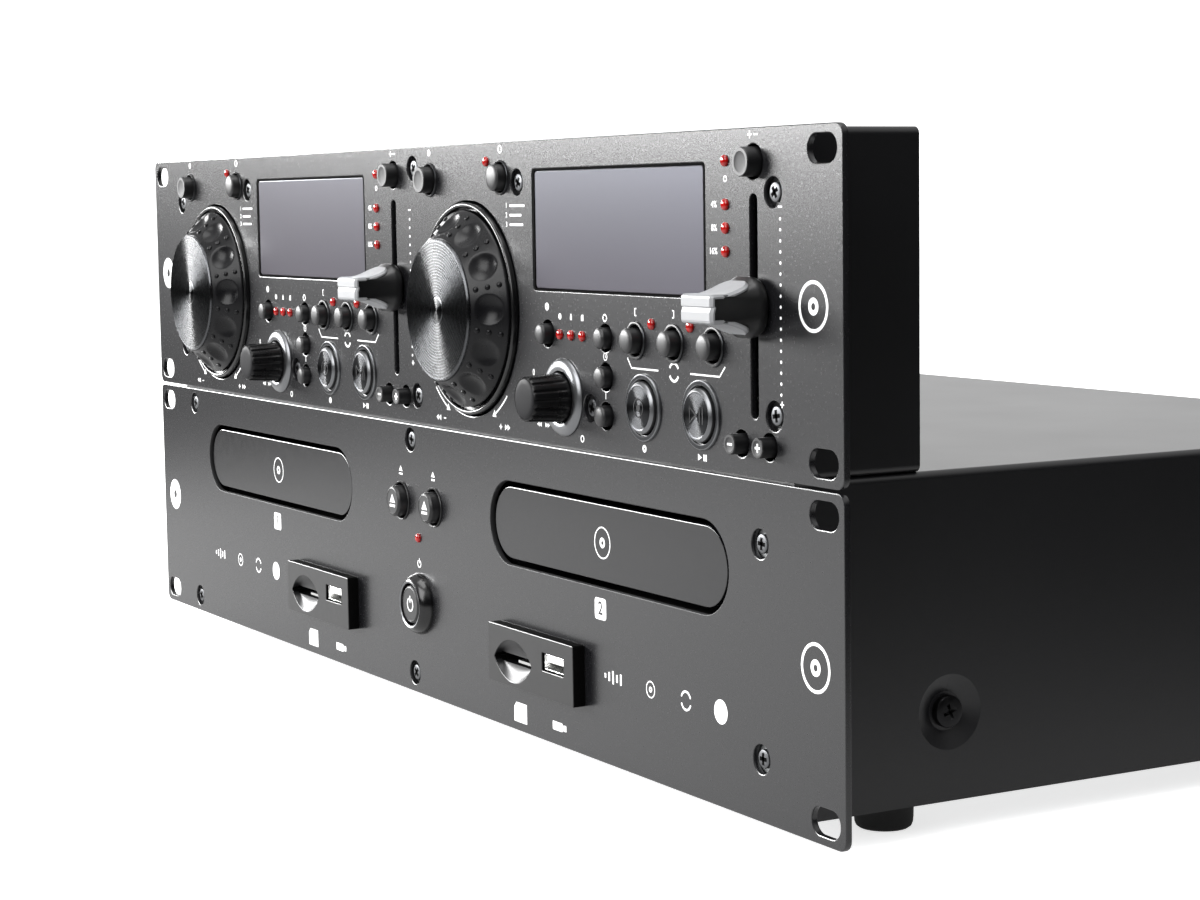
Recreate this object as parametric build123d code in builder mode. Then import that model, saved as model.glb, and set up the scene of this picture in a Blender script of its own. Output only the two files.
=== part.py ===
from collections import namedtuple
from math import atan, degrees
import os

from build123d import *

os.makedirs("parts", exist_ok=True)

# Front panels: two units high in a 19 inch rack, the control unit standing on the drive unit
panel_height = 88.1
panel_gap = 0.8
panel_thickness = 1.8
panel_corner = 3.0
panel_ear = 23.8
rack_slot_inset = 8.75
rack_slot_margin = 5.95
rack_slot_length = 12.4
rack_slot_height = 7.2

# Sheet steel cases, measured back from the panels' front faces
case_wall = 1.2
case_bend = 2.0
control_depth = 40.0
control_case_drop = 0.2
drive_depth = 255.0
drive_case_lift = 2.0
flange_width = 18.0

# Feet
foot_drop = 6.9
foot_radius = 8.0
foot_taper = 4.0
foot_inset = 16.5
foot_setback = 40.0

# Decks: the left one is the right one moved across, with this room between and beside them
deck_gap = 12.2
deck_margin = 2.2

# Jog wheels
jog_x = 40.6
jog_radius = 32.5
jog_clearance = 0.7
jog_lift = 4.6
jog_rim_reach = 1.5
jog_rim_width = 2.5
jog_shoulder_width = 8.0
jog_shoulder_reach = 10.2
jog_depth = 5.0
jog_disc_inset = 0.3
jog_disc_chamfer = 0.8
jog_reach = 11.4
jog_shaft_radius = 4.0
jog_shaft_length = 11.0
dimple_count = 12
dimple_sides = 8
dimple_radius = 4.0
dimple_depth = 1.1

# Display windows, between the jog wheel, the lamps of the fader and the rows of buttons
window_gap = 9.4
window_lamp_gap = 9.9
window_row_gap = 12.3
window_top_margin = 8.3
window_clearance = 0.15
window_recess = 0.8
window_lip = 2.0
window_thickness = 3.0

# Buttons
button_travel = 0.8
button_tail = 4.5
switch_size = 6.0

# Cue, play and power surrounds
ring_reach = 1.2
cue_ring_radius = 9.25
cue_gap = 11.4
power_ring_radius = 10.0
power_ring_reach = 3.9

# Select knobs, each on the shaft of a push encoder
knob_gap = 15.75
knob_z = 14.2
knob_hole_radius = 7.5
knob_ring_radius = 11.25
knob_ring_reach = 1.7
knob_radius = 7.1
knob_front_radius = 6.5
knob_edge = 0.6
knob_start = 1.0
knob_reach = 13.2
knob_flutes = 12
knob_flute_sides = 6
knob_flute_radius = 1.0
knob_flute_offset = 0.2
knob_bore_depth = 8.0
select_shaft_radius = 3.0
select_shaft_tail = 15.0
encoder_size = 13.0
running_clearance = 0.05

# Rows and columns of buttons, each column set off from the one on its left
top_row_margin = 10.5
tap_offset = 26.4
jog_mode_offset = 22.6
single_z = 10.4
mode_rise = 10.9
mode_gap = 13.35
source_offset = 9.4
loop_gap = 17.0
loop_spacing = 20.0
cue_z = 14.1
cue_offset = 4.0
pitch_margin = 8.6
pitch_step_z = 8.1
pitch_step_spacing = 13.0

# Pitch faders
fader_gap = 19.6
fader_slot_lift = 6.7
fader_slot_margin = 16.6
fader_slot_width = 3.4
fader_reach = 17.4
fader_start = 1.0
fader_base_width = 17.0
fader_base_height = 15.5
fader_bar_height = 7.4
fader_taper = 4.5
fader_scoop_radius = 13.0
fader_scoop_reach = 14.5
fader_stem_width = 2.4
fader_stem_height = 7.0
fader_stem_tail = 13.0
fader_end_clearance = 0.85
fader_body_width = 12.0
fader_body_setback = 10.5

# Control circuit board
board_setback = 21.0
board_thickness = 1.6
board_margin = 6.0
bearing_radius = 8.0
bearing_gap = 2.0

# Indicator lamps
lamp_radius = 1.5
lamp_reach = 0.9
lamp_sides = 8
lamp_fader_gap = 4.6
jog_lamp_offset = 13.4
jog_lamp_margin = 5.6
pitch_lamp_margin = 8.1
range_lamp_drop = 10.9
range_lamp_spacing = 6.0
source_lamp_offset = 7.8
source_lamp_spacing = 6.6
loop_lamp_offset = 8.7
loop_lamp_rise = 4.8
power_lamp_rise = 21.5

# Disc trays
tray_top_margin = 12.4
tray_opening_width = 136.5
tray_opening_height = 25.5
tray_gap = 1.9
tray_door_recess = 0.9
tray_door_thickness = 2.6
tray_side_gap = 4.25
tray_thickness = 6.0
tray_drop = 8.0
disc_recess_radius = 60.5
disc_recess_depth = 2.0
disc_front_margin = 4.0
disc_back_margin = 25.0
disc_out_gap = 3.5
spindle_slot_width = 36.0
spindle_slot_overlap = 14.0

# Disc mechanisms that carry the trays
rail_clearance = 0.4
rail_width = 5.0
rail_lip = 1.0
rail_lip_thickness = 2.0
rail_setback = 8.0
mechanism_depth = 190.0
mechanism_plate = 2.0
mechanism_drop = 14.0
spindle_radius = 3.0
spindle_hub_radius = 9.0
spindle_hub_height = 2.5
spindle_length = 8.0
post_size = 8.0

# Drive panel buttons
eject_z = 62.4
eject_x = 12.15
power_x = 0.5
power_z = 29.8

# Card and stick readers, one under each tray
reader_inset = 40.7
reader_offset = 4.4
reader_z = 23.4
reader_width = 53.6
reader_height = 17.9
reader_reach = 4.1
reader_corner = 0.8
reader_border = 2.5
reader_depth = 30.0
card_x = -10.85
card_z = -1.1
card_slot_width = 26.8
card_slot_height = 2.8
card_slot_depth = 24.0
scoop_width = 24.0
scoop_height = 12.6
scoop_depth = 2.2
stick_x = 14.5
stick_z = 1.8
stick_width = 13.2
stick_height = 5.4
stick_depth = 14.0
tongue_width = 11.0
tongue_height = 1.9
tongue_recess = 1.5

# Case screws in pressed dimples
cover_screw_z = 25.6
cover_screw_setback = 49.4
cover_screw_margin = 50.0
cover_dimple_radius = 10.0
cover_dimple_floor = 5.2
cover_dimple_depth = 2.0
cover_screw_radius = 4.3
cover_screw_head = 1.9

# Rear sockets, the first ones in from the sides of the cases
jack_radius = 4.15
jack_reach = 9.0
jack_spacing_x = 18.0
jack_spacing_z = 20.0
jack_inset = 97.5
jack_z = 46.0
link_radius = 7.5
link_reach = 2.5
link_inset = 21.5
link_z = 20.0
inlet_inset = 52.5
inlet_z = 42.0
inlet_width = 27.0
inlet_height = 20.0
inlet_flange = 3.0
inlet_flange_thickness = 2.5
inlet_wall = 1.8
inlet_depth = 16.0
inlet_pin_width = 2.0
inlet_pin_height = 4.0
inlet_pin_length = 13.0
inlet_pin_spacing = 7.0
inlet_pin_rise = 4.0

# Power supply between the two mechanisms
supply_gap = 9.1
supply_width = 84.0
supply_setback = 60.0
supply_overlap = 5.0
supply_height = 6.0
transformer_width = 52.0
transformer_depth = 44.0
transformer_height = 36.0
main_board_margin = 27.5
main_board_depth = 40.0
main_board_setback = 50.0

# Columns of the right deck, across the panel from its middle
jog_edge = jog_x + jog_radius + jog_clearance
knob_x = jog_edge + knob_gap + knob_ring_radius
mode_x = knob_x + knob_ring_radius + mode_gap
loop_x = mode_x + loop_gap
cue_x = loop_x + cue_offset
play_x = cue_x + 2 * cue_ring_radius + cue_gap
fader_x = loop_x + 2 * loop_spacing + fader_gap
range_lamp_x = fader_x - fader_base_width / 2 - lamp_fader_gap
source_x = knob_x - source_offset

# Rows of a deck, up from the control panel's lower edge
jog_z = jog_radius + jog_clearance + jog_lift
row_z = single_z + 2 * mode_rise
window_bottom = row_z + window_row_gap
window_top = panel_height - window_top_margin
fader_slot_bottom = pitch_step_z + fader_slot_lift
fader_slot_top = panel_height - fader_slot_margin

# Sizes that follow from these
deck_pitch = fader_x + fader_base_width / 2 - (jog_x - jog_radius - jog_clearance) + deck_gap
case_width = 2 * (deck_pitch + deck_margin)
cover_inside = case_width - 2 * case_wall
panel_width = case_width + 2 * panel_ear
rack_slot_span = panel_width - 2 * rack_slot_inset
rack_slot_rise = panel_height - 2 * rack_slot_margin
jog_shoulder_radius = jog_radius - jog_rim_width - jog_shoulder_width
jog_disc_radius = jog_shoulder_radius - jog_disc_inset
window_x = (jog_edge + window_gap + range_lamp_x - window_lamp_gap) / 2
window_z = (window_bottom + window_top) / 2
window_width = range_lamp_x - window_lamp_gap - jog_edge - window_gap
window_height = window_top - window_bottom
fader_z = (fader_slot_bottom + fader_slot_top) / 2
fader_slot_length = fader_slot_top - fader_slot_bottom
tray_z = panel_height - tray_top_margin - tray_opening_height / 2
tray_width = tray_opening_width - 2 * tray_side_gap
tray_depth = disc_front_margin + 2 * disc_recess_radius + disc_back_margin
door_back = tray_door_recess + tray_door_thickness
disc_setback = door_back + disc_front_margin + disc_recess_radius
rail_span = tray_width + 2 * rail_clearance + rail_width
tray_x = supply_width / 2 + supply_gap + rail_span / 2 + rail_width / 2
supply_depth = drive_depth - main_board_setback - supply_setback + supply_overlap
reader_x = tray_x - reader_inset
cover_screw_setbacks = (cover_screw_setback, drive_depth - cover_screw_margin)
jack_x = jack_inset - case_width / 2
link_x = case_width / 2 - link_inset
inlet_x = case_width / 2 - inlet_inset

# Travels of the joints: the fader's cap stays in its slot, and the tray brings the whole disc out
fader_travel = (fader_slot_length - fader_stem_height) / 2 - fader_end_clearance
tray_travel = disc_setback + disc_recess_radius + disc_out_gap

# Heights and depths that follow from these
drive_base = foot_drop
control_base = drive_base + panel_height + panel_gap
drive_case_bottom = drive_base + drive_case_lift
drive_case_top = control_base
control_case_top = control_base + panel_height - control_case_drop
panel_front = -(drive_depth + jack_reach - fader_reach) / 2

Button = namedtuple("Button", "x z radius hole reach")

# Buttons of the right deck, up from the control panel's lower edge
control_buttons = {
    "tap": Button(jog_x - tap_offset, panel_height - top_row_margin, 4.1, 4.7, 4.0),
    "jog_mode": Button(jog_x + jog_mode_offset, panel_height - top_row_margin, 4.0, 4.6, 3.5),
    "pitch": Button(fader_x, panel_height - pitch_margin, 3.75, 4.5, 4.0),
    "source": Button(source_x, row_z, 3.0, 4.0, 3.2),
    "repeat": Button(mode_x, row_z, 3.0, 4.0, 2.8),
    "time": Button(mode_x, single_z + mode_rise, 3.0, 4.0, 2.8),
    "single": Button(mode_x, single_z, 3.0, 4.0, 2.8),
    "loop_in": Button(loop_x, row_z, 3.5, 4.4, 3.9),
    "loop_out": Button(loop_x + loop_spacing, row_z, 3.5, 4.4, 3.9),
    "reloop": Button(loop_x + 2 * loop_spacing, row_z, 3.5, 4.4, 3.9),
    "cue": Button(cue_x, cue_z, 7.2, 7.6, 1.9),
    "play": Button(play_x, cue_z, 7.2, 7.6, 1.9),
    "pitch_down": Button(fader_x - pitch_step_spacing / 2, pitch_step_z, 2.65, 3.6, 3.75),
    "pitch_up": Button(fader_x + pitch_step_spacing / 2, pitch_step_z, 2.65, 3.6, 3.75),
}
# Buttons of the drive panel, up from its lower edge
drive_buttons = {
    "eject_1": Button(-eject_x, eject_z, 5.0, 5.8, 3.4),
    "eject_2": Button(eject_x, eject_z, 5.0, 5.8, 3.4),
    "power": Button(power_x, power_z, 6.3, 6.7, 3.7),
}
# Lamps of the right deck, up from the control panel's lower edge
control_lamps = [
    (jog_x + jog_lamp_offset, panel_height - jog_lamp_margin),
    (range_lamp_x, panel_height - pitch_lamp_margin),
    (loop_x + loop_lamp_offset, row_z + loop_lamp_rise),
    (loop_x + loop_spacing + loop_lamp_offset, row_z + loop_lamp_rise),
]
for step in range(3):
    control_lamps.append((range_lamp_x, window_top - range_lamp_drop - step * range_lamp_spacing))
    control_lamps.append((source_x + source_lamp_offset + step * source_lamp_spacing, row_z))
power_lamp = (power_x, power_z + power_lamp_rise)

deck_shifts = {"1": -deck_pitch, "2": 0.0}
tray_centres = {"1": -tray_x, "2": tray_x}
reader_centres = (-reader_x + reader_offset, reader_x + reader_offset)


def facing(out=0.0):
    """Plane of the panels' front faces, moved out towards the user."""
    front = Plane(origin=(0, panel_front, 0), x_dir=(1, 0, 0), z_dir=(0, -1, 0))
    return front.offset(out)


def section(x, z):
    """Plane through a control's axis: radius across, reach out of the panel upwards."""
    return Plane(origin=(x, panel_front, z), x_dir=(1, 0, 0), z_dir=(0, 0, -1))


def control_axis(x, z):
    """Axis of a control, square to the panels."""
    return Axis((x, panel_front, z), (0, -1, 0))


def save(made, name):
    """Labels a finished piece and writes it."""
    made.part.label = name
    export_step(made.part, f"parts/{name}.step")


def rack_panel(base):
    """Blank panel with rounded corners and a slot for a rack screw near each corner."""
    with BuildSketch(facing()) as blank:
        with Locations((0, base + panel_height / 2)):
            RectangleRounded(panel_width, panel_height, panel_corner)
            with GridLocations(rack_slot_span, rack_slot_rise, 2, 2):
                SlotOverall(rack_slot_length, rack_slot_height, mode=Mode.SUBTRACT)
    extrude(blank.sketch, amount=-panel_thickness)


def push_button(button, shift, base):
    """Cap of a push button with the tail that reaches back through the panel."""
    with BuildSketch(facing(-button_tail)) as outline:
        with Locations((shift + button.x, base + button.z)):
            Circle(button.radius)
    extrude(outline.sketch, amount=button_tail + button.reach)


def ring(x, z, outer, inner, reach):
    """Surround on the panel's face, sloping from its outer edge up to the opening."""
    with BuildSketch(section(x, z)) as profile:
        with BuildLine():
            Polyline((inner, 0), (outer, 0), (inner, reach), close=True)
        make_face()
    revolve(profile.sketch, axis=control_axis(x, z))


# Control unit -------------------------------------------------------------------------

with BuildPart() as control_panel:
    rack_panel(control_base)
    with BuildSketch(facing()):
        for shift in deck_shifts.values():
            with Locations((shift + jog_x, control_base + jog_z)):
                Circle(jog_radius + jog_clearance)
            with Locations((shift + window_x, control_base + window_z)):
                Rectangle(window_width, window_height)
            with Locations((shift + knob_x, control_base + knob_z)):
                Circle(knob_hole_radius)
            with Locations((shift + fader_x, control_base + fader_z)):
                SlotOverall(fader_slot_length, fader_slot_width, rotation=90)
            for button in control_buttons.values():
                with Locations((shift + button.x, control_base + button.z)):
                    Circle(button.hole)
    extrude(amount=-panel_thickness, mode=Mode.SUBTRACT)
save(control_panel, "control_panel")

with BuildPart() as control_case:
    with BuildSketch(facing(-panel_thickness)):
        with Locations((0, (control_base + control_case_top) / 2)):
            Rectangle(case_width, control_case_top - control_base)
    extrude(amount=-(control_depth - panel_thickness))
    fillet(control_case.edges().filter_by(Axis.Y), case_bend)
    open_front = control_case.faces().sort_by(Axis.Y)[0]
    offset(amount=-case_wall, openings=open_front)
save(control_case, "control_case")

with BuildPart() as display_windows:
    for shift in deck_shifts.values():
        with BuildSketch(facing(-panel_thickness)):
            with Locations((shift + window_x, control_base + window_z)):
                Rectangle(window_width + 2 * window_lip, window_height + 2 * window_lip)
        extrude(amount=-(window_recess + window_thickness - panel_thickness))
        with BuildSketch(facing(-panel_thickness)):
            with Locations((shift + window_x, control_base + window_z)):
                Rectangle(
                    window_width - 2 * window_clearance, window_height - 2 * window_clearance
                )
        extrude(amount=panel_thickness - window_recess)
save(display_windows, "display_windows")

with BuildPart() as button_bezels:
    for shift in deck_shifts.values():
        for key in ("cue", "play"):
            button = control_buttons[key]
            ring(shift + button.x, control_base + button.z, cue_ring_radius, button.hole, ring_reach)
        ring(
            shift + knob_x, control_base + knob_z,
            knob_ring_radius, knob_hole_radius, knob_ring_reach,
        )
    ring(
        power_x, drive_base + power_z,
        power_ring_radius, drive_buttons["power"].hole, power_ring_reach,
    )
save(button_bezels, "button_bezels")

with BuildPart() as indicator_leds:
    for shift in deck_shifts.values():
        for x, z in control_lamps:
            with BuildSketch(facing()):
                with Locations((shift + x, control_base + z)):
                    RegularPolygon(lamp_radius, lamp_sides)
            extrude(amount=lamp_reach)
    with BuildSketch(facing()):
        with Locations((power_lamp[0], drive_base + power_lamp[1])):
            RegularPolygon(lamp_radius, lamp_sides)
    extrude(amount=lamp_reach)
save(indicator_leds, "indicator_leds")

with BuildPart() as control_board:
    board_height = control_case_top - control_base - 2 * board_margin
    with BuildSketch(facing(-board_setback)):
        with Locations((0, (control_base + control_case_top) / 2)):
            Rectangle(cover_inside - 2 * board_margin, board_height)
    extrude(amount=-board_thickness)
    with BuildSketch(facing(-board_setback)):
        for shift in deck_shifts.values():
            for button in control_buttons.values():
                with Locations((shift + button.x, control_base + button.z)):
                    Rectangle(switch_size, switch_size)
    extrude(amount=board_setback - button_tail - 2 * button_travel)
    for shift in deck_shifts.values():
        with BuildSketch(facing(-board_setback)):
            with Locations((shift + jog_x, control_base + jog_z)):
                Circle(bearing_radius)
        extrude(amount=board_setback - jog_depth - bearing_gap)
        with BuildSketch(facing(-board_setback)):
            with Locations((shift + knob_x, control_base + knob_z)):
                Rectangle(encoder_size, encoder_size)
            with Locations((shift + fader_x, control_base + fader_z)):
                Rectangle(fader_body_width, fader_slot_length + fader_body_width)
        extrude(amount=board_setback - fader_body_setback)
        with BuildSketch(facing(-jog_depth)):
            with Locations((shift + jog_x, control_base + jog_z)):
                Circle(jog_shaft_radius + running_clearance)
        extrude(amount=-(jog_shaft_length + bearing_gap), mode=Mode.SUBTRACT)
        with BuildSketch(facing(-fader_body_setback)):
            with Locations((shift + knob_x, control_base + knob_z)):
                Circle(select_shaft_radius + running_clearance)
            with Locations((shift + fader_x, control_base + fader_z)):
                Rectangle(fader_slot_width, fader_slot_length)
        tail_room = max(select_shaft_tail, fader_stem_tail) - fader_body_setback
        extrude(amount=-(tail_room + 2 * button_travel), mode=Mode.SUBTRACT)
save(control_board, "control_board")

for deck, shift in deck_shifts.items():
    x, z = shift + jog_x, control_base + jog_z

    with BuildPart() as jog_wheel:
        with BuildSketch(section(x, z)):
            with BuildLine():
                Polyline(
                    (0, -jog_depth - jog_shaft_length),
                    (jog_shaft_radius, -jog_depth - jog_shaft_length),
                    (jog_shaft_radius, -jog_depth),
                    (jog_radius, -jog_depth),
                    (jog_radius, jog_rim_reach),
                    (jog_radius - jog_rim_width, jog_rim_reach),
                    (jog_shoulder_radius, jog_shoulder_reach),
                    (0, jog_shoulder_reach),
                    close=True,
                )
            make_face()
        revolve(axis=control_axis(x, z))
        slope_run = jog_shoulder_width
        slope = (jog_shoulder_reach - jog_rim_reach) / slope_run
        dimple_ring_radius = jog_radius - jog_rim_width - slope_run / 2
        dimple_reach = jog_rim_reach + slope * slope_run / 2
        dimple_tilt = degrees(atan(slope))
        with BuildSketch(Plane.XY) as dimple:
            RegularPolygon(dimple_radius, dimple_sides)
        cutter = extrude(dimple.sketch, amount=dimple_depth, both=True, mode=Mode.PRIVATE)
        with Locations(facing(dimple_reach)):
            with Locations((x, z)):
                with PolarLocations(dimple_ring_radius, dimple_count):
                    with Locations(Location((0, 0, 0), (0, dimple_tilt, 0))):
                        add(cutter, mode=Mode.SUBTRACT)
    save(jog_wheel, f"jog_wheel_{deck}")

    with BuildPart() as jog_disc:
        with BuildSketch(facing(jog_shoulder_reach)):
            with Locations((x, z)):
                Circle(jog_disc_radius)
        extrude(amount=jog_reach - jog_shoulder_reach)
        chamfer(jog_disc.edges().sort_by(Axis.Y)[0], jog_disc_chamfer)
    save(jog_disc, f"jog_disc_{deck}")

    x, z = shift + knob_x, control_base + knob_z

    with BuildPart() as select_shaft:
        with BuildSketch(facing(-select_shaft_tail)):
            with Locations((x, z)):
                Circle(select_shaft_radius)
        extrude(amount=select_shaft_tail + knob_start + knob_bore_depth)
    save(select_shaft, f"select_shaft_{deck}")

    with BuildPart() as select_knob:
        bore_radius = select_shaft_radius + running_clearance
        bore_end = knob_start + knob_bore_depth + running_clearance
        with BuildSketch(section(x, z)):
            with BuildLine():
                Polyline(
                    (bore_radius, knob_start),
                    (knob_radius, knob_start),
                    (knob_front_radius, knob_reach - knob_edge),
                    (knob_front_radius - knob_edge, knob_reach),
                    (0, knob_reach),
                    (0, bore_end),
                    (bore_radius, bore_end),
                    close=True,
                )
            make_face()
        revolve(axis=control_axis(x, z))
        with BuildSketch(facing(knob_start)):
            with Locations((x, z)):
                with PolarLocations(knob_radius + knob_flute_offset, knob_flutes):
                    RegularPolygon(knob_flute_radius, knob_flute_sides)
        extrude(amount=knob_reach - knob_start, mode=Mode.SUBTRACT)
    save(select_knob, f"select_knob_{deck}")

    x, z = shift + fader_x, control_base + fader_z

    with BuildPart() as fader_cap:
        with BuildSketch(facing(fader_start)):
            with Locations((x, z)):
                Rectangle(fader_base_width, fader_base_height)
        extrude(amount=fader_reach - fader_start, taper=fader_taper)
        scoop_centre = fader_bar_height / 2 + fader_scoop_radius
        with BuildSketch(Plane.YZ.offset(x - fader_base_width)):
            with Locations((panel_front - fader_scoop_reach, z)):
                with GridLocations(0, 2 * scoop_centre, 1, 2):
                    Circle(fader_scoop_radius)
        extrude(amount=2 * fader_base_width, mode=Mode.SUBTRACT)
        with BuildSketch(facing(fader_start)):
            with Locations((x, z)):
                Rectangle(fader_stem_width, fader_stem_height)
        extrude(amount=-(fader_start + fader_stem_tail))
    save(fader_cap, f"fader_cap_{deck}")

    for key, button in control_buttons.items():
        with BuildPart() as control_button:
            push_button(button, shift, control_base)
        save(control_button, f"{key}_button_{deck}")

# Drive unit ---------------------------------------------------------------------------

with BuildPart() as drive_panel:
    rack_panel(drive_base)
    with BuildSketch(facing()):
        for x in tray_centres.values():
            with Locations((x, drive_base + tray_z)):
                SlotOverall(tray_opening_width, tray_opening_height)
        for button in drive_buttons.values():
            with Locations((button.x, drive_base + button.z)):
                Circle(button.hole)
        for x in reader_centres:
            with Locations((x, drive_base + reader_z)):
                Rectangle(reader_width - 2 * reader_border, reader_height - 2 * reader_border)
    extrude(amount=-panel_thickness, mode=Mode.SUBTRACT)
save(drive_panel, "drive_panel")

with BuildPart() as media_ports:
    for x in reader_centres:
        with BuildSketch(facing()):
            with Locations((x, drive_base + reader_z)):
                RectangleRounded(reader_width, reader_height, reader_corner)
        extrude(amount=reader_reach)
        with BuildSketch(facing()):
            with Locations((x, drive_base + reader_z)):
                Rectangle(reader_width - 2 * reader_border, reader_height - 2 * reader_border)
        extrude(amount=-reader_depth)
        with BuildSketch(facing(reader_reach)):
            with Locations((x + card_x, drive_base + reader_z + card_z)):
                Rectangle(card_slot_width, card_slot_height)
        extrude(amount=-card_slot_depth, mode=Mode.SUBTRACT)
        with BuildSketch(facing(reader_reach)):
            with Locations((x + card_x, drive_base + reader_z + card_z)):
                with BuildLine():
                    half_width, half_height = scoop_width / 2, scoop_height / 2
                    ThreePointArc((-half_width, 0), (0, half_height), (half_width, 0))
                    ThreePointArc((half_width, 0), (0, -half_height), (-half_width, 0))
                make_face()
        extrude(amount=-scoop_depth, mode=Mode.SUBTRACT)
        with BuildSketch(facing(reader_reach)):
            with Locations((x + stick_x, drive_base + reader_z + stick_z)):
                Rectangle(stick_width, stick_height)
        extrude(amount=-stick_depth, mode=Mode.SUBTRACT)
        with BuildSketch(facing(reader_reach - stick_depth)):
            with Locations((x + stick_x, drive_base + reader_z + stick_z)):
                Rectangle(tongue_width, tongue_height)
        extrude(amount=stick_depth - tongue_recess)
save(media_ports, "media_ports")

with BuildPart() as drive_chassis:
    with BuildSketch(Plane.XY.offset(drive_case_bottom)):
        with Locations((0, panel_front + (panel_thickness + drive_depth) / 2)):
            Rectangle(cover_inside, drive_depth - panel_thickness)
    extrude(amount=case_wall)
    inside_height = drive_case_top - case_wall - drive_case_bottom
    with BuildSketch(facing(-drive_depth)):
        with Locations((0, drive_case_bottom + inside_height / 2)):
            Rectangle(cover_inside, inside_height)
        with Locations((inlet_x, drive_base + inlet_z)):
            Rectangle(inlet_width, inlet_height, mode=Mode.SUBTRACT)
    extrude(amount=case_wall)
    with BuildSketch(facing(-panel_thickness)):
        with Locations((0, drive_case_bottom + inside_height / 2)):
            with GridLocations(cover_inside - flange_width, 0, 2, 1):
                Rectangle(flange_width, inside_height)
    extrude(amount=-case_wall)
save(drive_chassis, "drive_chassis")

with BuildPart() as drive_cover:
    with BuildSketch(facing(-panel_thickness)):
        with Locations((0, (drive_case_bottom + drive_case_top) / 2)):
            Rectangle(case_width, drive_case_top - drive_case_bottom)
    extrude(amount=-(drive_depth - panel_thickness))
    fillet(drive_cover.edges().filter_by(Axis.Y).group_by(Axis.Z)[-1], case_bend)
    with BuildSketch(facing(-panel_thickness)):
        with Locations((0, (drive_case_bottom + drive_case_top) / 2 - case_wall)):
            Rectangle(cover_inside, drive_case_top - drive_case_bottom)
    extrude(amount=-(drive_depth - panel_thickness), mode=Mode.SUBTRACT)
    for side in (-1, 1):
        for setback in cover_screw_setbacks:
            centre = (side * case_width / 2, panel_front + setback, drive_base + cover_screw_z)
            outside = Plane(origin=centre, z_dir=(side, 0, 0))
            for skin, mode in ((case_wall, Mode.ADD), (0, Mode.SUBTRACT)):
                with Locations(outside.offset(-skin - cover_dimple_depth)):
                    Cone(
                        cover_dimple_floor, cover_dimple_radius, cover_dimple_depth,
                        align=(Align.CENTER, Align.CENTER, Align.MIN), mode=mode,
                    )
save(drive_cover, "drive_cover")

with BuildPart() as cover_screws:
    for side in (-1, 1):
        for setback in cover_screw_setbacks:
            centre = (side * case_width / 2, panel_front + setback, drive_base + cover_screw_z)
            outside = Plane(origin=centre, z_dir=(side, 0, 0))
            with BuildSketch(outside.offset(-cover_dimple_depth)):
                Circle(cover_screw_radius)
            extrude(amount=cover_screw_head)
save(cover_screws, "cover_screws")

with BuildPart() as rubber_feet:
    foot_span_x = case_width - 2 * foot_inset
    foot_span_y = drive_depth - 2 * foot_setback
    with BuildSketch(Plane.XY.offset(drive_case_bottom)):
        with Locations((0, panel_front + drive_depth / 2)):
            with GridLocations(foot_span_x, foot_span_y, 2, 2):
                Circle(foot_radius)
    extrude(amount=-drive_case_bottom, taper=foot_taper)
save(rubber_feet, "rubber_feet")

tray_bottom = drive_base + tray_z - tray_drop
plate_bottom = tray_bottom - mechanism_drop

with BuildPart() as disc_mechanisms:
    rail_height = mechanism_drop - mechanism_plate + tray_thickness + rail_clearance
    rail_middle = panel_front + (rail_setback + mechanism_depth) / 2
    for x in tray_centres.values():
        with BuildSketch(Plane.XY.offset(plate_bottom)):
            with Locations((x, rail_middle)):
                Rectangle(rail_span + rail_width, mechanism_depth - rail_setback)
        extrude(amount=mechanism_plate)
        with BuildSketch(Plane.XY.offset(plate_bottom + mechanism_plate)):
            with Locations((x, rail_middle)):
                with GridLocations(rail_span, 0, 2, 1):
                    Rectangle(rail_width, mechanism_depth - rail_setback)
        extrude(amount=rail_height)
        with BuildSketch(Plane.XY.offset(tray_bottom + tray_thickness + rail_clearance)):
            with Locations((x, rail_middle)):
                with GridLocations(rail_span - rail_lip - rail_clearance, 0, 2, 1):
                    Rectangle(rail_width + rail_lip + rail_clearance, mechanism_depth - rail_setback)
        extrude(amount=rail_lip_thickness)
        with BuildSketch(Plane.XY.offset(plate_bottom + mechanism_plate)):
            with Locations((x, panel_front + disc_setback)):
                Circle(spindle_radius)
        extrude(amount=spindle_length)
        with BuildSketch(Plane.XY.offset(plate_bottom + mechanism_plate + spindle_length)):
            with Locations((x, panel_front + disc_setback)):
                Circle(spindle_hub_radius)
        extrude(amount=spindle_hub_height)
        with BuildSketch(Plane.XY.offset(drive_case_bottom + case_wall)):
            with Locations((x, rail_middle)):
                with GridLocations(
                    rail_span - post_size, mechanism_depth - rail_setback - 2 * reader_depth, 2, 2
                ):
                    Rectangle(post_size, post_size)
        extrude(amount=plate_bottom - drive_case_bottom - case_wall)
save(disc_mechanisms, "disc_mechanisms")

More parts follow.
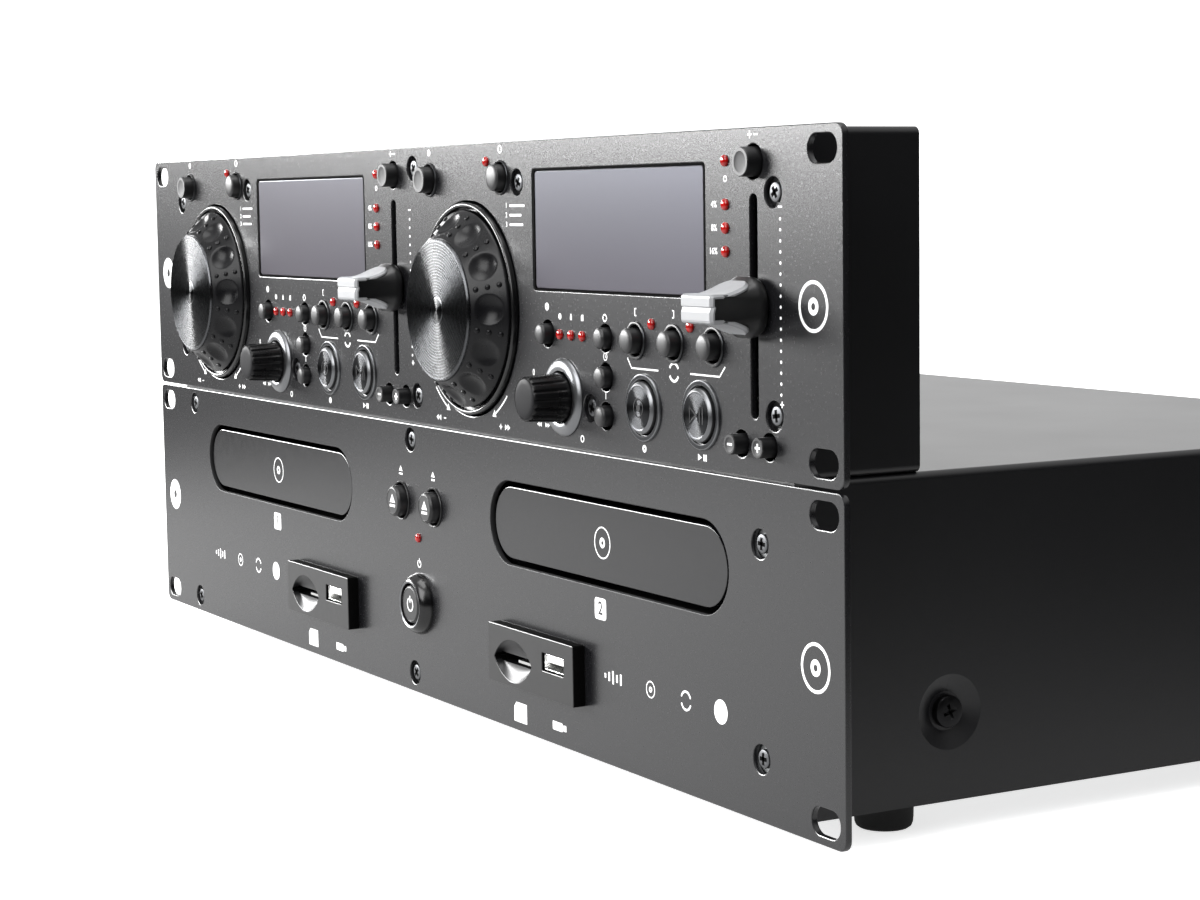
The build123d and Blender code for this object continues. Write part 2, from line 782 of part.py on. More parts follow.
with BuildPart() as power_supply:
    main_board_width = case_width - 2 * main_board_margin
    main_board_middle = panel_front + drive_depth - main_board_setback + main_board_depth / 2
    with BuildSketch(Plane.XY.offset(drive_case_bottom + case_wall + supply_height)):
        with Locations((0, panel_front + supply_setback + supply_depth / 2)):
            Rectangle(supply_width, supply_depth)
        with Locations((0, main_board_middle)):
            Rectangle(main_board_width, main_board_depth)
    extrude(amount=board_thickness)
    with BuildSketch(Plane.XY.offset(drive_case_bottom + case_wall)):
        with Locations((0, panel_front + supply_setback + supply_depth / 2)):
            with GridLocations(supply_width - post_size, supply_depth - post_size, 2, 2):
                Rectangle(post_size, post_size)
        with Locations((0, main_board_middle)):
            with GridLocations(main_board_width - post_size, 0, 2, 1):
                Rectangle(post_size, post_size)
    extrude(amount=supply_height)
    board_top = drive_case_bottom + case_wall + supply_height + board_thickness
    with BuildSketch(Plane.XY.offset(board_top)):
        with Locations((0, panel_front + supply_setback + transformer_depth)):
            Rectangle(transformer_width, transformer_depth)
    extrude(amount=transformer_height)
save(power_supply, "power_supply")

with BuildPart() as rear_sockets:
    with BuildSketch(facing(-drive_depth)):
        with Locations((jack_x, drive_base + jack_z)):
            with GridLocations(jack_spacing_x, jack_spacing_z, 2, 2):
                Circle(jack_radius)
    extrude(amount=-jack_reach)
    with BuildSketch(facing(-drive_depth)):
        with Locations((0, drive_base + jack_z)):
            with GridLocations(2 * jack_spacing_x, 0, 2, 1):
                Circle(link_radius)
    extrude(amount=-link_reach)
    with BuildSketch(facing(-control_depth)):
        with Locations((0, control_base + link_z)):
            with GridLocations(2 * link_x, 0, 2, 1):
                Circle(link_radius)
    extrude(amount=-link_reach)
    with BuildSketch(facing(-drive_depth)):
        with Locations((inlet_x, drive_base + inlet_z)):
            Rectangle(inlet_width + 2 * inlet_flange, inlet_height + 2 * inlet_flange)
    extrude(amount=-inlet_flange_thickness)
    with BuildSketch(facing(-drive_depth)):
        with Locations((inlet_x, drive_base + inlet_z)):
            Rectangle(inlet_width, inlet_height)
    extrude(amount=inlet_depth)
    with BuildSketch(facing(-drive_depth - inlet_flange_thickness)):
        with Locations((inlet_x, drive_base + inlet_z)):
            Rectangle(inlet_width - 2 * inlet_wall, inlet_height - 2 * inlet_wall)
    extrude(amount=inlet_flange_thickness + inlet_depth - inlet_wall, mode=Mode.SUBTRACT)
    with BuildSketch(facing(-drive_depth + inlet_depth - inlet_wall)):
        with Locations((inlet_x, drive_base + inlet_z - inlet_pin_rise / 2)):
            with GridLocations(2 * inlet_pin_spacing, 0, 2, 1):
                Rectangle(inlet_pin_width, inlet_pin_height)
        with Locations((inlet_x, drive_base + inlet_z + inlet_pin_rise)):
            Rectangle(inlet_pin_width, inlet_pin_height)
    extrude(amount=-inlet_pin_length)
save(rear_sockets, "rear_sockets")

for key, button in drive_buttons.items():
    with BuildPart() as drive_button:
        push_button(button, 0.0, drive_base)
    name = "power_button" if key == "power" else f"eject_button_{key[-1]}"
    save(drive_button, name)

for deck, x in tray_centres.items():
    with BuildPart() as tray_door:
        with BuildSketch(facing(-door_back)):
            with Locations((x, drive_base + tray_z)):
                SlotOverall(tray_opening_width - 2 * tray_gap, tray_opening_height - 2 * tray_gap)
        extrude(amount=tray_door_thickness)
    save(tray_door, f"tray_door_{deck}")

    with BuildPart() as disc_tray:
        with BuildSketch(Plane.XY.offset(tray_bottom)):
            with Locations((x, panel_front + door_back + tray_depth / 2)):
                Rectangle(tray_width, tray_depth)
        extrude(amount=tray_thickness)
        with BuildSketch(Plane.XY.offset(tray_bottom + tray_thickness)):
            with Locations((x, panel_front + disc_setback)):
                Circle(disc_recess_radius)
        extrude(amount=-disc_recess_depth, mode=Mode.SUBTRACT)
        slot_length = disc_recess_radius + spindle_slot_overlap
        with BuildSketch(Plane.XY.offset(tray_bottom)):
            with Locations((x, panel_front + disc_setback - spindle_slot_overlap)):
                Rectangle(
                    spindle_slot_width, slot_length, align=(Align.CENTER, Align.MIN)
                )
        extrude(amount=tray_thickness, mode=Mode.SUBTRACT)
    save(disc_tray, f"disc_tray_{deck}")
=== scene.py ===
import math
import bmesh
import bpy
from mathutils import Matrix, Vector


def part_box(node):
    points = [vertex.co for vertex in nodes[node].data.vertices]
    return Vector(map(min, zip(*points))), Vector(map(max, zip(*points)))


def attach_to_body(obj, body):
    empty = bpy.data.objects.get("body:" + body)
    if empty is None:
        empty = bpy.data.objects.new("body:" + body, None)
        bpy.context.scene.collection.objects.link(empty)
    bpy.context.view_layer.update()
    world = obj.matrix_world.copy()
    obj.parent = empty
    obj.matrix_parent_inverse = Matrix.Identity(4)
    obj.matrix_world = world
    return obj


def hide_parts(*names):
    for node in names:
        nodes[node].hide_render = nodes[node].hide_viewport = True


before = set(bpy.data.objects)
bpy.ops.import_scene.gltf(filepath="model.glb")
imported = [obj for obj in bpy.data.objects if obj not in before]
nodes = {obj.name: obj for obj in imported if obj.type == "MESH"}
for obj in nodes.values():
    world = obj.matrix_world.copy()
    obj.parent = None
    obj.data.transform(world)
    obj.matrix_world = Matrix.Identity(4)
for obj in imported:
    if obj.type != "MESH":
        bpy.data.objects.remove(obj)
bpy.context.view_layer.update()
print("frame loaded:", len(nodes), "nodes")


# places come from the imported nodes, in millimetres, and become metres where a vertex is made
def boxOf(node):
    low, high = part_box(node)
    return low * 1000, high * 1000


def centreOf(node):
    low, high = boxOf(node)
    return (low.x + high.x) / 2, (low.z + high.z) / 2


panelFront = boxOf("control_panel")[0].y
panelBack = boxOf("control_panel")[1].y
controlBase = boxOf("control_panel")[0].z
driveBase = boxOf("drive_panel")[0].z
panelHeight = boxOf("control_panel")[1].z - controlBase
panelWidth = boxOf("control_panel")[1].x * 2
panelThickness = panelBack - panelFront
caseSide = boxOf("drive_cover")[1].x
decks = ("1", "2")
deckShift = {deck: centreOf(f"jog_wheel_{deck}")[0] - centreOf("jog_wheel_2")[0] for deck in decks}


def addObject(name, data):
    made = bpy.data.objects.new(name, data)
    bpy.context.scene.collection.objects.link(made)
    return made


# the camera stands where the photograph was taken from
view = {
    "place": Vector((0.7384, -0.4688, 0.1663)),
    "towards": Vector((-0.8682, 0.4863, -0.0984)),
    "up": Vector((-0.0786, 0.0610, 0.9950)),
    "lens": 75.85, "sensor": 36,
}


def makeCamera():
    data = bpy.data.cameras.new("camera")
    data.sensor_width = view["sensor"]
    data.lens = view["lens"]
    camera = addObject("camera", data)
    back = -view["towards"].normalized()
    right = view["up"].cross(back).normalized()
    turnedAxes = Matrix((right, back.cross(right), back)).transposed()
    camera.matrix_world = Matrix.Translation(view["place"]) @ turnedAxes.to_4x4()
    bpy.context.scene.camera = camera


makeCamera()
print("camera set")


def hexColour(code):
    parts = [int(code[i:i + 2], 16) / 255 for i in (1, 3, 5)]
    linear = [p / 12.92 if p <= 0.04045 else ((p + 0.055) / 1.055) ** 2.4 for p in parts]
    return (*linear, 1.0)


def addNode(tree, kind, inputs=None, **settings):
    node = tree.nodes.new(kind)
    for name, value in settings.items():
        setattr(node, name, value)
    for socket, value in (inputs or {}).items():
        if isinstance(value, bpy.types.NodeSocket):
            tree.links.new(value, node.inputs[socket])
        else:
            node.inputs[socket].default_value = value
    return node


def makeFinish(name, colour, roughness, metallic=0.0, gloss=None, relief=None, tint=None, **more):
    # gloss is (spot, detail, low, high), relief (spot, detail, strength, height) and tint
    # (spot, detail, dark, light): spots of noise on Object coordinates, in millimetres
    material = bpy.data.materials.new(name)
    material.use_nodes = True
    tree = material.node_tree
    shader = tree.nodes["Principled BSDF"]
    shader.inputs["Base Color"].default_value = hexColour(colour)
    shader.inputs["Roughness"].default_value = roughness
    shader.inputs["Metallic"].default_value = metallic
    for socket, value in more.items():
        shader.inputs[socket.replace("_", " ")].default_value = value
    place = addNode(tree, "ShaderNodeTexCoord").outputs["Object"]
    spots = {}
    for use, pattern in (("gloss", gloss), ("relief", relief), ("tint", tint)):
        if pattern:
            spots[use] = addNode(tree, "ShaderNodeTexNoise", {
                "Vector": place, "Scale": 1000 / (2 * pattern[0]), "Detail": pattern[1], "Roughness": 0.55,
            }).outputs["Fac"]
    if gloss:
        spread = addNode(tree, "ShaderNodeMapRange", {
            "Value": spots["gloss"], "From Min": 0.3, "From Max": 0.7,
            "To Min": gloss[2], "To Max": gloss[3],
        })
        tree.links.new(spread.outputs["Result"], shader.inputs["Roughness"])
    if relief:
        bump = addNode(tree, "ShaderNodeBump", {
            "Height": spots["relief"], "Strength": relief[2], "Distance": relief[3] / 1000,
        })
        tree.links.new(bump.outputs["Normal"], shader.inputs["Normal"])
    if tint:
        blend = addNode(tree, "ShaderNodeMix", {
            "Factor": spots["tint"], "A": hexColour(tint[2]), "B": hexColour(tint[3]),
        }, data_type="RGBA")
        tree.links.new(blend.outputs["Result"], shader.inputs["Base Color"])
    return material


def latheMetal(name, colour, roughness, stretch):
    # metal faced on a lathe: hair-fine circles draw the light out into a fan each side of the centre
    material = makeFinish(
        name, colour, roughness, 1.0, gloss=(1.5, 2.0, roughness - 0.02, roughness + 0.02),
        Anisotropic=stretch, Anisotropic_Rotation=0.25,
    )
    tree = material.node_tree
    circles = addNode(tree, "ShaderNodeTangent", direction_type="RADIAL", axis="Y")
    tree.links.new(circles.outputs["Tangent"], tree.nodes["Principled BSDF"].inputs["Tangent"])
    return material


def glossPlastic(name, colour, roughness, grain=0.12, depth=0.006, **more):
    # moulded ABS: a tool finish with faint pits and handling marks that vary the gloss
    return makeFinish(
        name, colour, roughness, gloss=(1.5, 2.0, roughness - 0.02, roughness + 0.03),
        relief=(grain, 2.0, 0.3, depth), **more,
    )


def zincSteel(name, colour, roughness):
    # zinc plate: crystalline patches with a soft metal sheen
    return makeFinish(
        name, colour, roughness, 1.0, gloss=(1.2, 2.0, roughness - 0.06, roughness + 0.08),
        relief=(0.2, 2.0, 0.2, 0.01),
    )


# stoved enamel on sheet steel, sprayed with a fine leather grain: grey glare at a low angle
texturedEnamel = makeFinish(
    "texturedEnamel", "#141416", 0.26, gloss=(0.45, 1.0, 0.245, 0.275), relief=(0.4, 1.0, 0.2, 0.045),
    IOR=1.6,
)
# matt black powder coat on folded steel: an even fine pebble
powderCoat = makeFinish(
    "powderCoat", "#131315", 0.36, gloss=(25.0, 2.0, 0.35, 0.37), relief=(0.35, 2.0, 0.35, 0.06),
)
# clear acrylic over an unlit liquid crystal display: smooth, dark grey with a little violet
displayAcrylic = makeFinish(
    "displayAcrylic", "#55545c", 0.28, tint=(60.0, 1.0, "#2e292e", "#383238"),
    Specular_Tint=hexColour("#d8e4ff"),
)
# chrome plate on a moulded ring, satin: soft bright rims
satinChrome = makeFinish("satinChrome", "#747577", 0.34, 1.0, gloss=(3.0, 2.0, 0.31, 0.37))
# smoked chrome on the flat of the rings: a dark mirror between two bright edges
smokedChrome = makeFinish("smokedChrome", "#37383a", 0.30, 1.0, gloss=(3.0, 2.0, 0.27, 0.33))
turnedAluminium = latheMetal("turnedAluminium", "#505153", 0.27, 0.97)
# a darker copy of the turned metal, for painted shade in the disc's grooves and round its hub
turnedGroove = latheMetal("turnedGroove", "#1c1d1e", 0.28, 1.0)
spunMetal = latheMetal("spunMetal", "#3e3f41", 0.24, 1.0)
jogPlastic = glossPlastic("jogPlastic", "#0d0d0f", 0.28, IOR=1.3)
jogRim = glossPlastic("jogRim", "#070708", 0.20)
capPlastic = glossPlastic("capPlastic", "#09090b", 0.42)
knobPlastic = glossPlastic("knobPlastic", "#080809", 0.28, IOR=1.3)
knobFace = glossPlastic("knobFace", "#121214", 0.50, IOR=1.17)
openingEdge = glossPlastic("openingEdge", "#101012", 0.62)   # thin dull paint on sheared edges
faderPlastic = glossPlastic("faderPlastic", "#0d0d0e", 0.34, 0.2, 0.008)
faderSilver = glossPlastic("faderSilver", "#87888a", 0.42)   # silver paint on the grip
doorPlastic = glossPlastic("doorPlastic", "#0e0e10", 0.24, 0.25, 0.004)
trayPlastic = glossPlastic("trayPlastic", "#1e1e20", 0.42, 0.2, 0.012)
socketPlastic = glossPlastic("socketPlastic", "#0b0b0c", 0.34, 0.3, 0.003)
whitePlastic = glossPlastic("whitePlastic", "#e6e6e4", 0.40)
# diffused red epoxy lens of an indicator lamp
lampRed = makeFinish(
    "lampRed", "#b01c14", 0.12, tint=(0.9, 1.0, "#5a0302", "#b30a04"),
    Subsurface_Weight=0.05, Subsurface_Radius=(0.0008, 0.0002, 0.0002),
)
# screen printed white ink: matt, slightly uneven cover
printedInk = makeFinish("printedInk", "#e9e9e9", 0.55, tint=(0.3, 2.0, "#dcdcdc", "#f2f2f2"))
zincScrew = zincSteel("zincScrew", "#626365", 0.46)
blackOxide = zincSteel("blackOxide", "#2c2c2d", 0.36)
nickelShell = zincSteel("nickelShell", "#c9c9c8", 0.22)
zincSheet = zincSteel("zincSheet", "#a9abac", 0.40)
# near-black and hardly reflecting: painted shadow in the screws' cross recesses, round the display windows
# and on the side walls of the reader fronts; its tone varies a little at random
driverShadow = makeFinish(
    "driverShadow", "#020202", 0.9, tint=(0.5, 2.0, "#010101", "#050505"), Specular_IOR_Level=0.05,
)
# moulded rubber: matt, faintly dusty
footRubber = makeFinish(
    "footRubber", "#141414", 0.75, relief=(0.3, 2.0, 0.3, 0.05), tint=(2.0, 3.0, "#101010", "#1c1c1c"),
)
# green solder mask over copper tracks
solderMask = makeFinish("solderMask", "#0a2216", 0.38, tint=(1.6, 0.0, "#071a11", "#0e2c1d"))
print("materials made")


# shapes that every piece shares: turned, flat and printed
def onPanel(x, z, out, face=panelFront):
    return Vector((x, face - out, z)) / 1000


def joinRings(bm, rings, closed=False, finishes=None):
    # faces between rings of points, where a ring of one point is a pole
    pairs = list(zip(rings, rings[1:]))
    if closed:
        pairs.append((rings[-1], rings[0]))
    sides = max(len(ring) for ring in rings)
    for step, (first, second) in enumerate(pairs):
        for k in range(sides):
            after = (k + 1) % sides
            corners = list(dict.fromkeys((
                first[k % len(first)], first[after % len(first)],
                second[after % len(second)], second[k % len(second)],
            )))
            if len(corners) > 2:
                bm.faces.new(corners).material_index = finishes[step] if finishes else 0


def turned(bm, centre, profile, sides=64, face=panelFront, closed=False, finishes=None):
    # revolves (radius, reach) points about an axis square to the panels
    rings = []
    for radius, out in profile:
        angles = [2 * math.pi * k / sides for k in range(sides if radius > 0 else 1)]
        rings.append([bm.verts.new(onPanel(
            centre[0] + radius * math.cos(a), centre[1] + radius * math.sin(a), out, face,
        )) for a in angles])
    joinRings(bm, rings, closed, finishes)


def roundedLoop(x, z, width, height, corner, steps=6):
    loop = []
    for sx, sz, start in ((1, 1, 0), (-1, 1, 90), (-1, -1, 180), (1, -1, 270)):
        for k in range(steps + 1):
            angle = math.radians(start + 90 * k / steps)
            loop.append((
                x + sx * (width / 2 - corner) + corner * math.cos(angle),
                z + sz * (height / 2 - corner) + corner * math.sin(angle),
            ))
    return loop


def circleLoop(x, z, radius, steps=64):
    angles = [2 * math.pi * k / steps for k in range(steps)]
    return [(x + radius * math.cos(a), z + radius * math.sin(a)) for a in angles]


def bakedMesh(holder):
    # the plain mesh of an object, with its curve or its modifiers worked out
    graph = bpy.context.evaluated_depsgraph_get()
    return bpy.data.meshes.new_from_object(holder.evaluated_get(graph))


def addCurve(bm, curve, place, finish):
    # stands a flat curve upright on the panels and adds its faces
    holder = addObject(curve.name, curve)
    mesh = bakedMesh(holder)
    bpy.data.objects.remove(holder)
    bpy.data.curves.remove(curve)
    mesh.transform(Matrix.Translation(place) @ Matrix.Rotation(math.pi / 2, 4, "X"))
    before = len(bm.faces)
    bm.from_mesh(mesh)
    bpy.data.meshes.remove(mesh)
    bm.faces.ensure_lookup_table()
    for made in bm.faces[before:]:
        made.material_index = finish


def addPlate(bm, loops, back, front, bevel=0.0, finish=0, face=panelFront):
    # a flat plate with openings, between two reaches, its edges broken by a small bevel
    curve = bpy.data.curves.new("plate", "CURVE")
    curve.dimensions = "2D"
    curve.fill_mode = "BOTH"
    curve.extrude = ((front - back) / 2 - bevel) / 1000
    curve.bevel_depth = bevel / 1000
    curve.offset = -bevel / 1000
    curve.bevel_resolution = 1
    for loop in loops:
        spline = curve.splines.new("POLY")
        spline.points.add(len(loop) - 1)
        spline.use_cyclic_u = True
        for point, (x, z) in zip(spline.points, loop):
            point.co = (x / 1000, z / 1000, 0, 1)
    addCurve(bm, curve, (0, (face - (front + back) / 2) / 1000, 0), finish)


ink = 0.03   # how far printing stands out


def addText(bm, words, x, z, size, out=ink, finish=0):
    # plain numbers, centred on the place and a little bolder than the typeface
    curve = bpy.data.curves.new("words", "FONT")
    curve.body = words
    curve.size = size / 1000
    curve.align_x = "CENTER"
    curve.align_y = "CENTER"
    curve.extrude = out / 2000
    curve.offset = size / 90000
    curve.resolution_u = 3
    addCurve(bm, curve, (x / 1000, (panelFront - out / 2) / 1000, z / 1000), finish)


def smoothMesh(mesh, sharp):
    mesh.shade_smooth()
    mesh.set_sharp_from_angle(angle=math.radians(sharp))


def showMesh(name, mesh, materials, sharp=32):
    mesh.name = name
    # clearing the slots resets every face to the first one, so the faces get theirs back
    finishes = [side.material_index for side in mesh.polygons]
    mesh.materials.clear()
    for material in materials:
        mesh.materials.append(material)
    for side, finish in zip(mesh.polygons, finishes):
        side.material_index = min(finish, len(materials) - 1)
    smoothMesh(mesh, sharp)
    for side in mesh.polygons:
        if abs(side.normal.y) > 0.99999:   # faces square to the panels stay flat
            side.use_smooth = False
    return addObject(name, mesh)


def attach(piece, body, stands):
    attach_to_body(piece, body)
    if stands:
        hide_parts(*stands)


def closedMesh(name, bm, weld=True):
    if weld:
        bmesh.ops.remove_doubles(bm, verts=bm.verts, dist=1e-6)
    bmesh.ops.recalc_face_normals(bm, faces=bm.faces)
    mesh = bpy.data.meshes.new(name)
    bm.to_mesh(mesh)
    bm.free()
    return mesh


def settle(name, bm, materials, body="root", stands=(), sharp=32, weld=True):
    # turns a finished shape into a piece that rides on its body
    piece = showMesh(name, closedMesh(name, bm, weld), materials, sharp)
    attach(piece, body, stands)


# Geometry Nodes: one tree repeats a shape on points, one spreads it round an axis
def startTree(name, sockets):
    tree = bpy.data.node_groups.new(name, "GeometryNodeTree")
    for label, kind, value in sockets:
        socket = tree.interface.new_socket(name=label, in_out="INPUT", socket_type=kind)
        if value is not None:
            socket.default_value = value
    tree.interface.new_socket(name="Result", in_out="OUTPUT", socket_type="NodeSocketGeometry")
    return tree, addNode(tree, "NodeGroupInput").outputs


def copyShape(tree, given, points, turn):
    # sets the shape on every point, makes the copies real and coats them
    shape = addNode(tree, "GeometryNodeObjectInfo", {"Object": given["Shape"]})
    copies = addNode(tree, "GeometryNodeInstanceOnPoints", {
        "Points": points, "Instance": shape.outputs["Geometry"], "Rotation": turn,
    })
    real = addNode(tree, "GeometryNodeRealizeInstances", {"Geometry": copies.outputs["Instances"]})
    coat = addNode(tree, "GeometryNodeSetMaterial", {
        "Geometry": real.outputs["Geometry"], "Material": given["Finish"],
    })
    addNode(tree, "NodeGroupOutput", {"Result": coat.outputs["Geometry"]})


def repeatTree():
    tree, given = startTree("repeatOnPoints", (
        ("Points", "NodeSocketGeometry", None), ("Shape", "NodeSocketObject", None),
        ("Spin", "NodeSocketFloat", 0.0), ("Seed", "NodeSocketInt", 7),
        ("Finish", "NodeSocketMaterial", None),
    ))
    spin = addNode(
        tree, "FunctionNodeRandomValue", {"Max": given["Spin"], "Seed": given["Seed"]}, data_type="FLOAT",
    )
    turn = addNode(tree, "ShaderNodeCombineXYZ", {"Y": spin.outputs[1]})
    copyShape(tree, given, given["Points"], turn.outputs["Vector"])
    return tree


def roundTree():
    tree, given = startTree("repeatRoundAxis", (
        ("Base", "NodeSocketGeometry", None), ("Shape", "NodeSocketObject", None),
        ("Count", "NodeSocketInt", 12), ("Phase", "NodeSocketFloat", 0.0),
        ("Centre", "NodeSocketVector", None), ("Finish", "NodeSocketMaterial", None),
    ))
    row = addNode(tree, "GeometryNodeMeshLine", {"Count": given["Count"], "Offset": (0, 0, 0)})
    index = addNode(tree, "GeometryNodeInputIndex")
    share = addNode(tree, "ShaderNodeMath", {0: index.outputs[0], 1: given["Count"]}, operation="DIVIDE")
    angle = addNode(tree, "ShaderNodeMath", {0: share.outputs[0], 1: 2 * math.pi}, operation="MULTIPLY")
    phased = addNode(tree, "ShaderNodeMath", {0: angle.outputs[0], 1: given["Phase"]}, operation="ADD")
    turn = addNode(tree, "ShaderNodeCombineXYZ", {"Y": phased.outputs[0]})
    placed = addNode(tree, "GeometryNodeSetPosition", {
        "Geometry": row.outputs["Mesh"], "Position": given["Centre"],
    })
    copyShape(tree, given, placed.outputs["Geometry"], turn.outputs["Vector"])
    return tree


repeatOnPoints = repeatTree()
repeatRoundAxis = roundTree()


def runTree(name, tree, base, values):
    # evaluates the tree on a base mesh and returns the plain mesh
    holder = addObject(name, base)
    modifier = holder.modifiers.new("repeat", "NODES")
    modifier.node_group = tree
    sockets = {s.name: s.identifier for s in tree.interface.items_tree if s.in_out == "INPUT"}
    for socket, value in values.items():
        modifier[sockets[socket]] = value
    mesh = bakedMesh(holder)
    holder.modifiers.remove(modifier)
    bpy.data.objects.remove(holder)
    return mesh


def template(name, bm, sharp=32):
    # a shape that is copied or cut with, and removed when that is done
    mesh = closedMesh(name, bm)
    smoothMesh(mesh, sharp)
    return addObject(name, mesh)


def dropShape(shape):
    mesh = shape.data
    bpy.data.objects.remove(shape)
    bpy.data.meshes.remove(mesh)


def scatter(name, shape, points, finish, spin=0.0, seed=7, stands=()):
    base = bpy.data.meshes.new(name)
    base.from_pydata(points, [], [])
    values = {"Shape": shape, "Spin": spin, "Seed": seed, "Finish": finish}
    piece = showMesh(name, runTree(name, repeatOnPoints, base, values), [finish])
    attach(piece, "root", stands)


# front panels with their openings, and the screws that hold them
panel = {
    "corner": 3.0, "edgeBevel": 0.28, "screwRecess": 3.9,
    "slotLength": 12.4, "slotHeight": 7.2, "slotInset": 8.75, "slotMargin": 5.95,
    "jogHole": 33.2, "knobHole": 7.5, "ejectHole": 5.8, "powerHole": 6.7,
}
buttonHoles = {
    "tap": 4.7, "jog_mode": 4.6, "pitch": 4.5, "source": 4.0, "repeat": 4.0, "time": 4.0,
    "single": 4.0, "loop_in": 4.4, "loop_out": 4.4, "reloop": 4.4, "cue": 7.6, "play": 7.6,
    "pitch_down": 3.6, "pitch_up": 3.6,
}
faderSlot = {"width": 3.4, "bottom": 14.8, "top": 71.5}
window = {
    "corner": 1.2, "innerCorner": 0.6, "lip": 2.0, "frame": (2.1, 1.1), "rimGap": 0.1, "glassGap": 0.3,
    "glass": (-3.0, -0.3, 0.25), "rim": (-2.0, -0.12, 0.1),
    "backGrow": 4, "backCorner": 1.0, "backEnd": -3.8,
}
doorOpening = {"width": 136.5, "height": 25.5, "edge": 1}
reader = {"width": 53.6, "height": 17.9, "reach": 4.1, "border": 2.5}
controlScrews = [(x, z) for x in (-211, 211) for z in (71.8, 16.1)]
controlScrews += [(1.5, 81.4), (1.8, 8.7), (73.5, 76.0), (116.3, 12.1), (-141.8, 76.0), (-99.0, 12.1)]
driveScrews = [(203.7, 72.0), (203.7, 16.5), (-4.4, 83.0), (-4.4, 6.4), (-203.8, 82.5), (-203.8, 6.1)]
panelScrew = {"head": 2.5, "seat": -1.9, "reach": -0.45, "cross": 1.1, "span": 3.2, "depth": 0.9}
# gap, sink and depth of the black crosses that paint the shadow in the screw heads' recesses
screwShadow = {"gap": 0.02, "sunk": 0.1, "depth": 0.6}
screwCup = {"outside": 4.4, "back": -2.3, "mouth": 3.75, "floor": 3.3}


def panelLoops(base):
    # the outline and the four rack slots
    loops = [roundedLoop(0, base + panelHeight / 2, panelWidth, panelHeight, panel["corner"])]
    for x in (-1, 1):
        for z in (panel["slotMargin"], panelHeight - panel["slotMargin"]):
            loops.append(roundedLoop(
                x * (panelWidth / 2 - panel["slotInset"]), base + z,
                panel["slotLength"], panel["slotHeight"], panel["slotHeight"] / 2, 10,
            ))
    return loops


def screwHoles(base, screws):
    return [circleLoop(x, base + z, panel["screwRecess"], 40) for x, z in screws]


def windowPlace(deck):
    # the two windows are one node, so each is taken from its half of the box
    low, high = boxOf("display_windows")
    lip = window["lip"]
    width = (high.x - low.x) - (deckShift["2"] - deckShift["1"]) - 2 * lip
    right = high.x - lip + deckShift[deck]
    return right - width / 2, (low.z + high.z) / 2, width, high.z - low.z - 2 * lip


def makeControlPanel():
    loops = panelLoops(controlBase)
    length = faderSlot["top"] - faderSlot["bottom"]
    middle = controlBase + faderSlot["bottom"] + length / 2
    for deck in decks:
        for key, radius in buttonHoles.items():
            loops.append(circleLoop(*centreOf(f"{key}_button_{deck}"), radius, 40))
        loops.append(circleLoop(*centreOf(f"jog_wheel_{deck}"), panel["jogHole"], 128))
        loops.append(circleLoop(*centreOf(f"select_knob_{deck}"), panel["knobHole"], 40))
        x = centreOf(f"fader_cap_{deck}")[0]
        loops.append(roundedLoop(x, middle, faderSlot["width"], length, faderSlot["width"] / 2))
        loops.append(roundedLoop(*windowPlace(deck), window["corner"]))
    loops += screwHoles(controlBase, controlScrews)
    bm = bmesh.new()
    addPlate(bm, loops, -panelThickness, 0, panel["edgeBevel"])
    settle("controlPanel", bm, [texturedEnamel], stands=["control_panel"])


def readerPlaces():
    low, high = boxOf("media_ports")
    half = reader["width"] / 2
    return [(low.x + half, (low.z + high.z) / 2), (high.x - half, (low.z + high.z) / 2)]


def readerLoop(x, z):
    inside = 2 * reader["border"]
    return roundedLoop(x, z, reader["width"] - inside, reader["height"] - inside, 0.5)


def makeDrivePanel():
    loops = panelLoops(driveBase)
    width, height, edge = doorOpening["width"], doorOpening["height"], doorOpening["edge"]
    for deck in decks:
        loops.append(roundedLoop(*centreOf(f"tray_door_{deck}"), width, height, height / 2, 24))
        loops.append(circleLoop(*centreOf(f"eject_button_{deck}"), panel["ejectHole"], 48))
    loops.append(circleLoop(*centreOf("power_button"), panel["powerHole"], 48))
    loops += [readerLoop(x, z) for x, z in readerPlaces()]
    loops += screwHoles(driveBase, driveScrews)
    bm = bmesh.new()
    addPlate(bm, loops, -panelThickness, 0, panel["edgeBevel"])
    # the sheared edges of the tray openings carry thin paint and stay dull
    for side in bm.faces:
        spot = side.calc_center_median() * 1000
        for deck in decks:
            x, z = centreOf(f"tray_door_{deck}")
            inside = abs(spot.x - x) < width / 2 + edge and abs(spot.z - z) < height / 2 + edge
            if inside and abs(side.normal.y) < 0.98:
                side.material_index = 1
    settle("drivePanel", bm, [texturedEnamel, openingEdge], stands=["drive_panel"])


def crossCutter(width, length, reach, depth):
    # tapered cross that presses a screwdriver recess, 0.35 of its length at the bottom
    bm = bmesh.new()
    for turnBy in (0, math.pi / 2):
        ends = []
        for out, grow in ((reach + 0.1, 1.0), (reach - depth, 0.35)):
            loop = [(-width / 2, -length / 2 * grow), (width / 2, -length / 2 * grow),
                    (width / 2, length / 2 * grow), (-width / 2, length / 2 * grow)]
            ring = []
            for x, z in loop:
                turnedX = x * math.cos(turnBy) - z * math.sin(turnBy)
                turnedZ = x * math.sin(turnBy) + z * math.cos(turnBy)
                ring.append(bm.verts.new(onPanel(turnedX, turnedZ, out, 0)))
            ends.append(ring)
        bm.faces.new(ends[0])
        bm.faces.new(list(reversed(ends[1])))
        for k in range(4):
            bm.faces.new([ends[0][k], ends[1][k], ends[1][(k + 1) % 4], ends[0][(k + 1) % 4]])
    return template("crossCutter", bm)


